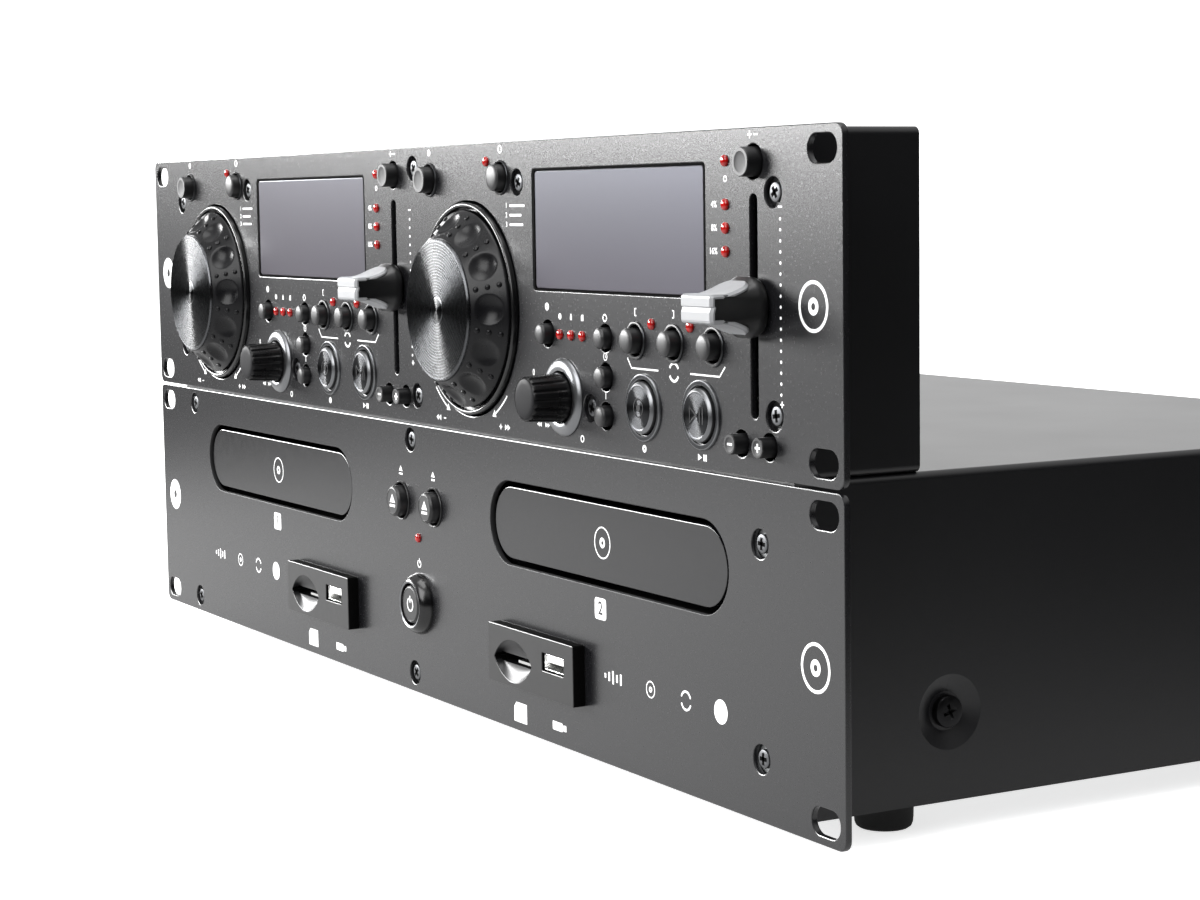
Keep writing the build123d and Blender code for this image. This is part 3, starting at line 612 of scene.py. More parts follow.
def screwShape(size):
    # pan head about the origin, facing out of the panels, with its cross cut in
    radius, base, dome = size["head"], size["seat"], size["reach"] - size["seat"]
    bm = bmesh.new()
    turned(bm, (0, 0), [
        (0, base), (radius, base), (radius, base + dome * 0.7), (radius * 0.95, base + dome * 0.86),
        (radius * 0.8, base + dome * 0.95), (radius * 0.5, base + dome * 0.99), (0, size["reach"]),
    ], 40, face=0)
    head = template("screwHead", bm)
    cutter = crossCutter(size["cross"], size["span"], size["reach"], size["depth"])
    cut = head.modifiers.new("cross", "BOOLEAN")
    cut.operation = "DIFFERENCE"
    cut.solver = "EXACT"
    cut.use_self = True
    cut.object = cutter
    mesh = bakedMesh(head)
    dropShape(head)
    dropShape(cutter)
    smoothMesh(mesh, 32)
    return addObject("screw", mesh)


def makePanelScrews():
    shape = screwShape(panelScrew)
    # a black cross inside each cross recess of the heads: painted shadow
    inlay = crossCutter(
        panelScrew["cross"] - screwShadow["gap"], panelScrew["span"] - screwShadow["gap"],
        panelScrew["reach"] - screwShadow["sunk"], screwShadow["depth"],
    )
    outside, back, floor = screwCup["outside"], screwCup["back"], panelScrew["seat"]
    bm = bmesh.new()
    turned(bm, (0, 0), [
        (0, back), (outside, back), (outside, -panelThickness), (screwCup["mouth"], -panelThickness),
        (screwCup["floor"], floor), (0, floor),
    ], 32, face=0)
    seat = template("screwCup", bm)
    for name, base, places, seed in (
        ("controlPanel", controlBase, controlScrews, 11), ("drivePanel", driveBase, driveScrews, 5),
    ):
        points = [onPanel(x, base + z, 0) for x, z in places]
        scatter(f"{name}Screws", shape, points, zincScrew, spin=math.pi, seed=seed)
        scatter(f"{name}Crosses", inlay, points, driverShadow, spin=math.pi, seed=seed)
        scatter(f"{name}Seats", seat, points, socketPlastic)
    for used in (shape, inlay, seat):
        dropShape(used)


makeControlPanel()
makeDrivePanel()
makePanelScrews()
print("panels made")


# jog wheels: a rim, a slope with finger dimples and pips, and a turned disc
jog = {
    "rim": 32.5, "rimInner": 31.1, "grooveInner": 30.25, "groove": -0.6, "skirt": -5.0, "lip": 1.7,
    "slopeStart": 30.0, "slopeStartReach": 2.0, "slopeEnd": 22.0, "slopeEndReach": 10.3,
    "dimples": 12, "dimpleRing": 26.0, "dimple": 4.4, "dimpleDepth": 1.35, "dimpleEdge": 0.3,
    "dimpleLip": 0.16, "turn": 1.5, "bumpRings": (23.4, 26.0, 28.6), "bump": 0.9,
    "disc": 21.7, "discReach": 11.2, "hub": 4.1, "grooves": 18, "grooveDepth": 0.014,
    "around": 540, "across": 34,
}


def dimpleDepth(along, across):
    # how far a point of the slope is pressed in by the nearest finger dimple
    distance = math.hypot(along, across)
    depth, edge, soft, lip = jog["dimpleDepth"], jog["dimple"], jog["dimpleEdge"], jog["dimpleLip"]
    if distance >= edge + soft:
        return 0.0
    if distance > edge - soft:
        share = (edge + soft - distance) / (2 * soft)
        return depth * lip * share * share * (3 - 2 * share)
    cap = 1 - (distance / (edge - soft)) ** 2
    return depth * (lip + (1 - lip) * cap)


def makeJogWheel(deck):
    centre = centreOf(f"jog_wheel_{deck}")
    bm = bmesh.new()
    start, startReach = jog["slopeStart"], jog["slopeStartReach"]
    run = start - jog["slopeEnd"]
    rise = jog["slopeEndReach"] - startReach
    length = math.hypot(run, rise)
    normal = (rise / length, run / length)   # outwards, then out of the panel
    pitch = 2 * math.pi / jog["dimples"]
    grid = []
    for row in range(jog["across"] + 1):
        share = row / jog["across"]
        radius = start - run * share
        reach = startReach + rise * share
        ring = []
        for k in range(jog["around"]):
            a = 2 * math.pi * k / jog["around"]
            off = (a - math.radians(jog["turn"]) + pitch / 2) % pitch - pitch / 2
            depth = dimpleDepth((radius - jog["dimpleRing"]) * length / run, off * radius)
            r = radius - normal[0] * depth
            ring.append(bm.verts.new(onPanel(
                centre[0] + r * math.cos(a), centre[1] + r * math.sin(a), reach - normal[1] * depth,
            )))
        grid.append(ring)
    joinRings(bm, grid)
    rim, inner, lip = jog["rim"], jog["rimInner"], jog["lip"]
    turned(bm, centre, [
        (0, jog["skirt"]), (rim, jog["skirt"]), (rim, lip - 0.8), (rim - 0.1, lip - 0.4),
        (rim - 0.35, lip - 0.1), (rim - 0.7, lip), (inner + 0.3, lip - 0.12), (inner + 0.05, lip - 0.45),
        (inner, jog["groove"]), (jog["grooveInner"], jog["groove"]), (start + 0.12, startReach - 0.35),
        (start, startReach),
    ], jog["around"], finishes=[1] * 10 + [0])
    turned(bm, centre, [(jog["slopeEnd"], jog["slopeEndReach"]), (0, jog["slopeEndReach"])], jog["around"])
    settle(
        f"jogWheel{deck}", bm, [jogPlastic, jogRim], f"jog_{deck}", [f"jog_wheel_{deck}"], 40,
    )


def makeJogBumps():
    # three small pips between each pair of dimples
    slope = math.atan2(
        jog["slopeEndReach"] - jog["slopeStartReach"], jog["slopeStart"] - jog["slopeEnd"]
    )
    bump = jog["bump"]
    bm = bmesh.new()
    for radius in jog["bumpRings"]:
        reach = jog["slopeStartReach"] + (jog["slopeStart"] - radius) * math.tan(slope)
        part = bmesh.new()
        turned(part, (0, 0), [
            (0, -0.2), (bump, -0.2), (bump, 0.1), (bump * 0.8, 0.38), (bump * 0.4, 0.55), (0, 0.6),
        ], 12, face=0)
        place = Matrix.Translation((radius / 1000, -reach / 1000, 0))
        bmesh.ops.transform(part, matrix=place @ Matrix.Rotation(slope, 4, "Z"), verts=part.verts)
        mesh = bpy.data.meshes.new("pip")
        part.to_mesh(mesh)
        part.free()
        bm.from_mesh(mesh)
        bpy.data.meshes.remove(mesh)
    shape = template("pips", bm)
    phase = math.pi / jog["dimples"] - math.radians(jog["turn"])
    for deck in decks:
        mesh = runTree("round", repeatRoundAxis, bpy.data.meshes.new("base"), {
            "Shape": shape, "Count": jog["dimples"], "Phase": phase,
            "Centre": onPanel(*centreOf(f"jog_wheel_{deck}"), 0), "Finish": jogPlastic,
        })
        piece = showMesh(f"jogPips{deck}", mesh, [jogPlastic])
        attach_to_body(piece, f"jog_{deck}")
    dropShape(shape)


def makeJogDisc(deck):
    disc, hub, base, top = jog["disc"], jog["hub"], jog["slopeEndReach"] - 0.1, jog["discReach"]
    profile = [(0, base), (disc, base), (disc, top - 0.45), (disc - 0.4, top)]
    finishes = [0, 0, 0]
    start, end = disc - 1.0, hub + 0.25
    pitch = (start - end) / jog["grooves"]
    # the two slopes of each shallow groove take the darker metal: painted shade in the grooves
    for k in range(jog["grooves"]):
        for share, deep in ((0, 0), (0.28, 1), (0.56, 0)):
            profile.append((start - (k + share) * pitch, top - deep * jog["grooveDepth"]))
        finishes += [0, 1, 1]
    # the step down round the hub takes the darker metal as painted shade, and so does the middle of the hub
    profile += [(end, top), (hub, top - 0.2), (hub - 0.5, top - 0.05), (0, top)]
    finishes += [0, 1, 0, 1]
    bm = bmesh.new()
    turned(bm, centreOf(f"jog_disc_{deck}"), profile, 160, finishes=finishes)
    settle(
        f"jogDisc{deck}", bm, [turnedAluminium, turnedGroove], f"jog_{deck}", [f"jog_disc_{deck}"],
    )


for deck in decks:
    makeJogWheel(deck)
    makeJogDisc(deck)
makeJogBumps()
print("jog wheels made")


# buttons: (radius, reach) outlines from the tail to the middle of the face
def domeProfile(radius, reach, tail):
    return [
        (0, tail), (radius, tail), (radius, reach - 1.05), (radius * 0.97, reach - 0.7),
        (radius * 0.86, reach - 0.38), (radius * 0.66, reach - 0.18), (radius * 0.36, reach - 0.05),
        (0, reach),
    ]


def dishProfile(radius, reach, tail):
    inner = radius * 0.72
    return [
        (0, tail), (radius, tail), (radius, reach - 0.5), (radius - 0.08, reach - 0.15),
        (radius - 0.22, reach), (inner, reach), (inner * 0.9, reach - 0.08), (inner * 0.7, reach - 0.18),
        (inner * 0.38, reach - 0.25), (0, reach - 0.27),
    ]


def flatProfile(radius, reach, tail):
    return [
        (0, tail), (radius, tail), (radius, reach - 0.9), (radius - 0.12, reach - 0.6),
        (radius - 0.55, reach - 0.12), (radius - 0.85, reach), (radius - 1.0, reach - 0.12),
        (0, reach - 0.12),
    ]


def spunProfile(radius, reach, tail):
    # plated cap: a bright bevel round a face with shallow turned rings
    start, rings = radius - 1.15, 12
    pitch = start / rings
    profile = [
        (0, tail), (radius, tail), (radius, reach - 0.95), (radius - 0.1, reach - 0.75),
        (radius - 0.75, reach - 0.08), (radius - 0.95, reach), (start, reach - 0.12),
    ]
    for k in range(rings - 1):
        profile.append((start - (k + 0.5) * pitch, reach - 0.135))
        profile.append((start - (k + 1) * pitch, reach - 0.12))
    return profile + [(0, reach - 0.12)]


buttonForms = {
    "tap": dishProfile, "jog_mode": domeProfile, "pitch": dishProfile, "source": domeProfile,
    "repeat": domeProfile, "time": domeProfile, "single": domeProfile, "loop_in": domeProfile,
    "loop_out": domeProfile, "reloop": domeProfile, "cue": spunProfile, "play": spunProfile,
    "pitch_down": dishProfile, "pitch_up": dishProfile,
}
# finish numbers along each outline; a sign's bevel, finish and reach below the top of its cap
formFinishes = {spunProfile: [0, 0, 0, 3, 3] + [1] * 24, dishProfile: [0] * 5 + [3] * 4}
spunSign = {"back": 0.13, "front": 0.03, "bevel": 0.03, "finish": 2}
dishSign = {"back": 0.4, "front": 0.15, "bevel": 0, "finish": 1}
flatSign = {"back": 0.13, "front": 0.08, "bevel": 0, "finish": 1}


def makeButton(name, node, form, signs, sign, materials):
    low, high = boxOf(node)
    reach = panelFront - low.y
    profile = form((high.x - low.x) / 2, reach, panelFront - high.y)
    bm = bmesh.new()
    turned(bm, centreOf(node), profile, 56, finishes=formFinishes.get(form))
    for loops in signs:
        addPlate(bm, loops, reach - sign["back"], reach - sign["front"], sign["bevel"], sign["finish"])
    settle(name, bm, materials, node, [node])


def capSigns(key, x, z):
    # the plates of a button's sign, each with its openings
    if key == "play":
        arrow = [(x - 3.3, z - 2.4), (x - 3.3, z + 2.4), (x + 0.5, z)]
        inside = [(x - 2.85, z - 1.6), (x - 2.85, z + 1.6), (x - 0.35, z)]
        return [[arrow, inside]] + [[roundedLoop(x + s, z, 0.6, 4.6, 0.2, 2)] for s in (1.8, 3.3)]
    if key == "cue":
        return [[circleLoop(x, z, 2.7, 40), circleLoop(x, z, 2.25, 40)], [circleLoop(x, z, 1.0, 32)]]
    if key == "pitch_down":
        return [[roundedLoop(x, z, 2.3, 0.6, 0.1, 2)]]
    if key == "pitch_up":
        stubs = [[roundedLoop(x, z + s * 0.72, 0.6, 0.85, 0.1, 2)] for s in (-1, 1)]
        return [[roundedLoop(x, z, 2.3, 0.6, 0.1, 2)]] + stubs
    if key == "eject":
        triangle = [(x - 2.0, z - 0.5), (x, z + 2.3), (x + 2.0, z - 0.5)]
        return [[triangle], [roundedLoop(x, z - 1.55, 4.0, 0.85, 0.1, 2)]]
    if key == "power":
        angles = [math.radians(115 + 310 * k / 40) for k in range(41)]
        ring = [(x + 2.3 * math.cos(a), z + 2.3 * math.sin(a)) for a in angles]
        ring += [(x + 1.8 * math.cos(a), z + 1.8 * math.sin(a)) for a in reversed(angles)]
        return [[ring], [roundedLoop(x, z + 1.7, 0.5, 2.4, 0.2, 2)]]
    return []


def makeButtons():
    for deck in decks:
        for key, form in buttonForms.items():
            node = f"{key}_button_{deck}"
            if form is spunProfile:
                sign, materials = spunSign, [capPlastic, spunMetal, blackOxide, satinChrome]
            else:
                sign, materials = dishSign, [capPlastic, printedInk, knobFace, openingEdge]
            makeButton(f"{key}Button{deck}", node, form, capSigns(key, *centreOf(node)), sign, materials)
    flat = [("ejectButton1", "eject_button_1", "eject"), ("ejectButton2", "eject_button_2", "eject"),
            ("powerButton", "power_button", "power")]
    for name, node, key in flat:
        signs = capSigns(key, *centreOf(node))
        makeButton(name, node, flatProfile, signs, flatSign, [capPlastic, printedInk])


makeButtons()
print("buttons made")


# rings and collars round the buttons and knobs: (radius, reach) round each cross section
ringProfiles = {
    "cap": [(7.75, 0), (9.25, 0), (9.25, 0.4), (9.12, 0.62), (8.95, 0.7), (8.05, 0.7), (7.85, 0.55)],
    "knob": [(7.6, 0), (11.2, 0), (11.25, 0.3), (10.9, 0.85), (10.2, 1.3), (9.3, 1.6), (8.4, 1.7),
             (7.75, 1.5), (7.6, 1.1)],
    "power": [(6.75, 0), (10, 0), (10, 0.6), (9.6, 1.6), (8.9, 2.9), (8.2, 3.6), (7.6, 3.9), (7.0, 3.7),
              (6.8, 3.0)],
}
collars = {
    "tap": (4.75, 5.4), "jog_mode": (4.65, 5.2), "loop_in": (4.4, 5.3), "loop_out": (4.4, 5.3),
    "reloop": (4.4, 5.3),
}
ejectCollar = (5.85, 6.4)
lamp = {"radius": 1.5, "reach": 1.0, "tail": -0.5}
lampPlaces = (
    (54.0, 82.5), (188.9, 80.0), (188.9, 68.9), (188.9, 62.9), (188.9, 56.9),
    (99.2, 32.2), (105.8, 32.2), (112.4, 32.2), (151.1, 37.0), (171.1, 37.0),
)
powerLamp = (0.5, 51.3)


def makeSurrounds():
    # plated rings of cue, play and knobs, all on one node, and the black one of the power button
    bm = bmesh.new()
    for deck in decks:
        for key in ("cue", "play"):
            turned(
                bm, centreOf(f"{key}_button_{deck}"), ringProfiles["cap"], 72, closed=True,
                finishes=[0, 0, 0, 0, 1, 0, 0],
            )
        turned(bm, centreOf(f"select_knob_{deck}"), ringProfiles["knob"], 72, closed=True)
    settle("chromeRings", bm, [satinChrome, smokedChrome], stands=["button_bezels"])
    bm = bmesh.new()
    turned(
        bm, centreOf("power_button"), ringProfiles["power"], 72, closed=True,
        finishes=[0, 0, 0, 0, 0, 0, 1, 0, 0],
    )
    settle("powerRing", bm, [jogRim, satinChrome])


def makeCollars():
    # small black collars round the button holes, all but the eject buttons' with a bright line
    bm = bmesh.new()
    places = [(f"{key}_button_{deck}", *size, 1) for deck in decks for key, size in collars.items()]
    places += [(f"eject_button_{deck}", *ejectCollar, 0) for deck in decks]
    for node, inner, outer, line in places:
        turned(bm, centreOf(node), [
            (inner, 0), (outer, 0), (outer, 0.35), (outer - 0.18, 0.5), (inner + 0.35, 0.55),
            (inner + 0.15, 0.45), (inner, 0.25),
        ], 56, closed=True, finishes=[0, 0, line, 0, 0, 0, 0])
    settle("buttonCollars", bm, [capPlastic, smokedChrome])


def makeLamps():
    r, h, tail = lamp["radius"], lamp["reach"], lamp["tail"]
    bm = bmesh.new()
    turned(bm, (0, 0), [
        (0, tail), (r, tail), (r, h * 0.35), (r * 0.9, h * 0.62), (r * 0.68, h * 0.85),
        (r * 0.36, h * 0.97), (0, h),
    ], 24, face=0)
    shape = template("lamp", bm)
    places = [onPanel(x + deckShift[deck], controlBase + z, 0) for deck in decks for x, z in lampPlaces]
    places.append(onPanel(powerLamp[0], driveBase + powerLamp[1], 0))
    scatter("indicatorLamps", shape, places, lampRed, stands=["indicator_leds"])
    dropShape(shape)


def makeWindows():
    # clear front, dark backing and a shadowed rim
    bm = bmesh.new()
    gap, grow = window["glassGap"], window["backGrow"]
    for deck in decks:
        x, z, width, height = windowPlace(deck)
        insideX, insideZ = width - window["frame"][0], height - window["frame"][1]
        glass = roundedLoop(x, z, insideX - gap, insideZ - gap, window["corner"])
        back = roundedLoop(x, z, width + grow, height + grow, window["backCorner"])
        rim = [
            roundedLoop(x, z, width - window["rimGap"], height - window["rimGap"], window["corner"]),
            roundedLoop(x, z, insideX, insideZ, window["corner"] * window["innerCorner"]),
        ]
        addPlate(bm, [glass], *window["glass"])
        addPlate(bm, [back], window["backEnd"], -panelThickness - 0.02, 0, 1)
        # the rim round each window takes the painted shadow finish, a near-black line
        addPlate(bm, rim, *window["rim"], 2)
    settle(
        "displayWindows", bm, [displayAcrylic, socketPlastic, driverShadow], stands=["display_windows"],
        weld=False,
    )


makeSurrounds()
makeCollars()
makeLamps()
makeWindows()
print("surrounds, lamps and windows made")


# select knobs and faders
knob = {
    "radius": 7.1, "front": 6.4, "start": 1.0, "flutes": 16, "flute": 0.42, "around": 256,
    "face": ((5.95, 12.9), (5.85, 12.75), (5.5, 12.95), (4.2, 13.1), (2.2, 13.18), (0, 13.2)),
}
fader = {
    "foot": (17.0, 15.5), "footCorner": 6.5, "start": 1.0, "reach": 17.4,
    "bar": (14.2, 7.0), "barCorner": 0.8, "stem": (2.4, 7.0), "tail": -13.0,
    "sweep": (3.2, 12.6), "steps": 16,
    "tongue": (5.0, 12.8), "tongueTip": (4.4, 3.2), "tongueWidth": 7.0, "tongueSteps": 18,
    "grip": 7.5, "chamfer": 0.8, "wall": 1.1,
}


def makeKnob(deck):
    node = f"select_knob_{deck}"
    cx, cz = centreOf(node)
    radius, front, start = knob["radius"], knob["front"], knob["start"]
    # radius, reach and the flutes' share of their depth, from the back to the edge of the face
    levels = [
        (radius, start, 0), (radius, start + 1.2, 0), (radius - 0.08, start + 1.8, 1), (6.75, 7.0, 1),
        (front + 0.1, 11.9, 1), (front, 12.4, 0.6), (front - 0.25, 12.75, 0.15), (5.95, 12.9, 0),
    ]
    bm = bmesh.new()
    rings = [[bm.verts.new(onPanel(cx, cz, start))]]
    for wide, reach, depth in levels:
        ring = []
        for k in range(knob["around"]):
            a = 2 * math.pi * k / knob["around"]
            r = wide - knob["flute"] * depth * max(0.0, math.cos(a * knob["flutes"])) ** 1.5
            ring.append(bm.verts.new(onPanel(cx + r * math.cos(a), cz + r * math.sin(a), reach)))
        rings.append(ring)
    joinRings(bm, rings)
    turned(bm, (cx, cz), knob["face"], knob["around"], finishes=[0, 1, 1, 1, 1])
    settle(f"selectKnob{deck}", bm, [knobPlastic, knobFace], node, [node], 40)


def faderHeight(share):
    # the cap's height as it falls from the foot to the bar
    left = max(0.0, 1 - share)
    bar, foot = fader["bar"][1], fader["foot"][1]
    return bar + (foot - bar) * (left ** 2.2 * 0.55 + left * 0.45)


def addFaderBody(bm, cx, cz):
    width, height = fader["foot"]
    barWidth, barHeight = fader["bar"]
    corner, barCorner, start = fader["footCorner"], fader["barCorner"], fader["start"]
    low, high = fader["sweep"]
    levels = [
        (width - 1.2, height - 1.2, corner - 0.6, start), (width - 0.3, height - 0.3, corner, start + 0.5),
        (width, height, corner, start + 1.3),
    ]
    for k in range(fader["steps"] + 1):
        t = k / fader["steps"]
        levels.append((
            barWidth + (width - barWidth) * (1 - t) ** 1.8, faderHeight(t),
            barCorner + (corner - barCorner) * (1 - t) ** 1.3, low + (high - low) * t,
        ))
    levels.append((barWidth, barHeight, barCorner, fader["reach"] - 1.4))
    rings = []
    for w, h, edge, out in levels:
        rings.append([bm.verts.new(onPanel(x, z, out)) for x, z in roundedLoop(cx, cz, w, h, edge, 8)])
    joinRings(bm, rings)
    bm.faces.new(list(reversed(rings[0])))
    bm.faces.new(rings[-1])
    addPlate(bm, [roundedLoop(cx, cz, *fader["stem"], 0.3, 2)], fader["tail"], start + 0.1)


def addFaderGrip(bm, cx, cz):
    # a line of (height, reach, half width) from the lower tongue's tip round the bar to the upper tip
    top, grip, half = fader["reach"], fader["grip"], fader["bar"][1] / 2 + 0.25
    low, high = fader["sweep"]
    start, end = fader["tongue"]
    tongue = []
    for k in range(fader["tongueSteps"] + 1):
        out = start + (end - start) * (k / fader["tongueSteps"])
        tip = min(1.0, (out - fader["tongueTip"][0]) / fader["tongueTip"][1])
        wide = fader["tongueWidth"] * math.sqrt(max(0.0, 1 - (1 - tip) ** 2)) ** 0.9
        tongue.append((faderHeight((out - low) / (high - low)) / 2 + 0.22, out, wide))
    tongue += [(half, top - 1.6, grip), (half - 0.1, top - 0.7, grip), (half - 0.5, top - 0.15, grip),
               (half - 1.0, top, grip)]
    front = [(-0.75, top, grip), (0.45, top - 0.42, grip), (0.75, top, grip)]
    line = [(-rise, out, w) for rise, out, w in tongue] + front + list(reversed(tongue))
    sections = []
    for k, (rise, out, w) in enumerate(line):
        before, after = line[max(k - 1, 0)], line[min(k + 1, len(line) - 1)]
        dz, dOut = after[0] - before[0], after[1] - before[1]
        size = math.hypot(dz, dOut)
        nz, nOut = -dOut / size, dz / size
        chamfer = min(fader["chamfer"], w * 0.5)
        sections.append([
            bm.verts.new(onPanel(cx + x, cz + rise + nz * sink, out + nOut * sink))
            for x, sink in ((-w, -chamfer * 0.8), (-w + chamfer, 0), (w - chamfer, 0), (w, -chamfer * 0.8),
                            (w, -fader["wall"]), (-w, -fader["wall"]))
        ])
    joinRings(bm, sections, finishes=[1] * len(sections))
    for cap in (sections[0], list(reversed(sections[-1]))):
        bm.faces.new(cap).material_index = 1


def makeFader(deck):
    # a black foot and cheeks, and a silver grip that runs over the bar in two tongues
    node = f"fader_cap_{deck}"
    bm = bmesh.new()
    addFaderBody(bm, *centreOf(node))
    addFaderGrip(bm, *centreOf(node))
    settle(f"faderCap{deck}", bm, [faderPlastic, faderSilver], f"fader_{deck}", [node], 30)


for deck in decks:
    makeKnob(deck)
    makeFader(deck)
print("knobs and faders made")


# tray doors, each with a small disc sign
door = {"bevel": 0.2, "ring": (4.6, 4.2), "hub": (1.5, 0.6)}


def makeDoor(deck):
    node = f"tray_door_{deck}"
    low, high = boxOf(node)
    x, z = centreOf(node)
    width, height = high.x - low.x, high.z - low.z
    front = panelFront - low.y
    bm = bmesh.new()
    outline = roundedLoop(x, z, width, height, height / 2, 24)
    addPlate(bm, [outline], panelFront - high.y, front, door["bevel"])
    ring = [circleLoop(x, z, radius, 64) for radius in door["ring"]]
    hub = [circleLoop(x, z, door["hub"][0], 32), circleLoop(x, z, door["hub"][1], 24)]
    for loops in (ring, hub):
        addPlate(bm, loops, front, front + ink, 0, 1)
    settle(
        f"trayDoor{deck}", bm, [doorPlastic, printedInk], f"tray_{deck}", [node], weld=False,
    )


for deck in decks:
    makeDoor(deck)
print("doors made")


# card and stick readers: a lens-shaped finger scoop round the card slot, a shell in the stick port
port = {
    "corner": 0.8, "bevel": 0.2, "back": -30.0, "floor": -28.0, "inside": -10.0,
    "card": (-10.85, -1.1), "cardSize": (26.8, 2.8), "cardTrim": 3.0,
    "stick": (14.5, 1.8), "stickSize": (13.2, 5.4), "shell": 0.7, "bore": 1.3,
    "guide": (4.5, -0.3, 11.0, 0.8), "tongue": (0.0, 0.9, 11.0, 1.7),
    "shellSunk": 0.7, "tongueSunk": 1.0, "guideSunk": 2.6,
}
scoop = {"width": 24.0, "height": 12.6, "depth": 2.0, "edge": 0.15, "steps": 24, "rows": 8}


def lidArc(card, across, up):
    # one lid of the eye-shaped scoop
    halfW, halfH = scoop["width"] / 2, scoop["height"] / 2
    radius = (halfW ** 2 + halfH ** 2) / (2 * halfH)
    reach = math.asin(halfW / radius)
    angles = [-reach + 2 * reach * k / scoop["steps"] for k in range(scoop["steps"] + 1)]
    return [(
        card[0] + across * radius * math.sin(a), card[1] + up * (radius * math.cos(a) - radius + halfH),
    ) for a in angles]


def addScoop(bm, card, finish):
    # the scoop falls from the lids to the card slot
    for side in (1, -1):
        target = card[1] + side * port["cardSize"][1] / 2
        rows = []
        for row in range(scoop["rows"] + 1):
            t = row / scoop["rows"]
            drop = scoop["depth"] * math.sin(t * math.pi / 2)
            line = []
            for x, z in lidArc(card, 1, side):
                if side * (z - target) >= 0:
                    z += (target - z) * t
                line.append(bm.verts.new(onPanel(x, z, reader["reach"] - scoop["edge"] - drop)))
            rows.append(line)
        for first, second in zip(rows, rows[1:]):
            for k in range(scoop["steps"]):
                bm.faces.new([first[k], first[k + 1], second[k + 1], second[k]]).material_index = finish


def makePorts():
    bm = bmesh.new()
    front = reader["reach"]
    for x, z in readerPlaces():
        card = (x + port["card"][0], z + port["card"][1])
        stick = (x + port["stick"][0], z + port["stick"][1])
        stickWidth, stickHeight = port["stickSize"]
        outline = roundedLoop(x, z, reader["width"], reader["height"], port["corner"])
        eye = lidArc(card, 1, 1)[:-1] + lidArc(card, -1, -1)[:-1]
        stickHole = roundedLoop(*stick, stickWidth, stickHeight, 0.3, 2)
        before = len(bm.faces)
        addPlate(bm, [outline, eye, stickHole], 0, front, port["bevel"])
        # the side walls of each reader front, outside and round its openings, take the painted shadow finish
        # (3), so they read black
        for side in bm.faces[before:]:
            side.normal_update()
            side.material_index = 3 if abs(side.normal.y) < 0.3 else 0
        addScoop(bm, card, 4)
        inner = readerLoop(x, z)
        cardSlot = roundedLoop(*card, port["cardSize"][0] - port["cardTrim"], port["cardSize"][1], 0.2, 2)
        addPlate(bm, [inner, cardSlot, stickHole], port["floor"], front - scoop["depth"] - scoop["edge"])
        addPlate(bm, [inner], port["back"], port["floor"])
        shell = roundedLoop(*stick, stickWidth - port["shell"], stickHeight - port["shell"], 0.3, 2)
        bore = roundedLoop(*stick, stickWidth - port["bore"], stickHeight - port["bore"], 0.2, 2)
        addPlate(bm, [shell, bore], port["inside"], front - port["shellSunk"], 0.06, 1)
        right, up, width, height = port["tongue"]
        tongue = roundedLoop(stick[0] + right, stick[1] + up, width, height, 0.2, 2)
        addPlate(bm, [tongue], port["inside"], front - port["tongueSunk"], 0.1, 2)
        right, up, width, height = port["guide"]
        guide = roundedLoop(card[0] + right, card[1] + up, width, height, 0.2, 2)
        addPlate(bm, [guide], port["inside"], front - port["guideSunk"], 0, 1)
    settle(
        "mediaPorts", bm, [socketPlastic, nickelShell, whitePlastic, driverShadow, capPlastic],
        stands=["media_ports"], weld=False,
    )


makePorts()
print("ports made")


# printing: bands, arcs, arrows, plain signs and numbers
def stroke(points, width):
    # a band of even width along a line of points
    left, right = [], []
    for k, (x, z) in enumerate(points):
        before = points[max(k - 1, 0)]
        after = points[min(k + 1, len(points) - 1)]
        dx, dz = after[0] - before[0], after[1] - before[1]
        size = math.hypot(dx, dz)
        nx, nz = -dz / size * width / 2, dx / size * width / 2
        left.append((x + nx, z + nz))
        right.append((x - nx, z - nz))
    return left + list(reversed(right))


def arcPoints(x, z, radius, start, end, steps=20):
    angles = [math.radians(start + (end - start) * k / steps) for k in range(steps + 1)]
    return [(x + radius * math.cos(a), z + radius * math.sin(a)) for a in angles]


def arrowHead(x, z, angle, size):
    a = math.radians(angle)
    half = size * 0.55
    return [
        (x + size * math.cos(a), z + size * math.sin(a)), (x - half * math.sin(a), z + half * math.cos(a)),
        (x + half * math.sin(a), z - half * math.cos(a)),
    ]


scaleDots = {"radius": 0.42, "x": 214.2, "top": 65.25, "pitch": 2.728, "count": 17}


def makeScaleDots():
    # dots of the fader scale, one shape repeated on points
    radius = scaleDots["radius"]
    bm = bmesh.new()
    turned(bm, (0, 0), [(0, 0), (radius, 0), (radius, ink), (0, ink)], 16, face=0)
    shape = template("dot", bm)
    points = [
        onPanel(scaleDots["x"] + deckShift[deck], controlBase + scaleDots["top"] - k * scaleDots["pitch"], 0)
        for deck in decks for k in range(scaleDots["count"])
    ]
    scatter("faderScaleDots", shape, points, printedInk)
    dropShape(shape)


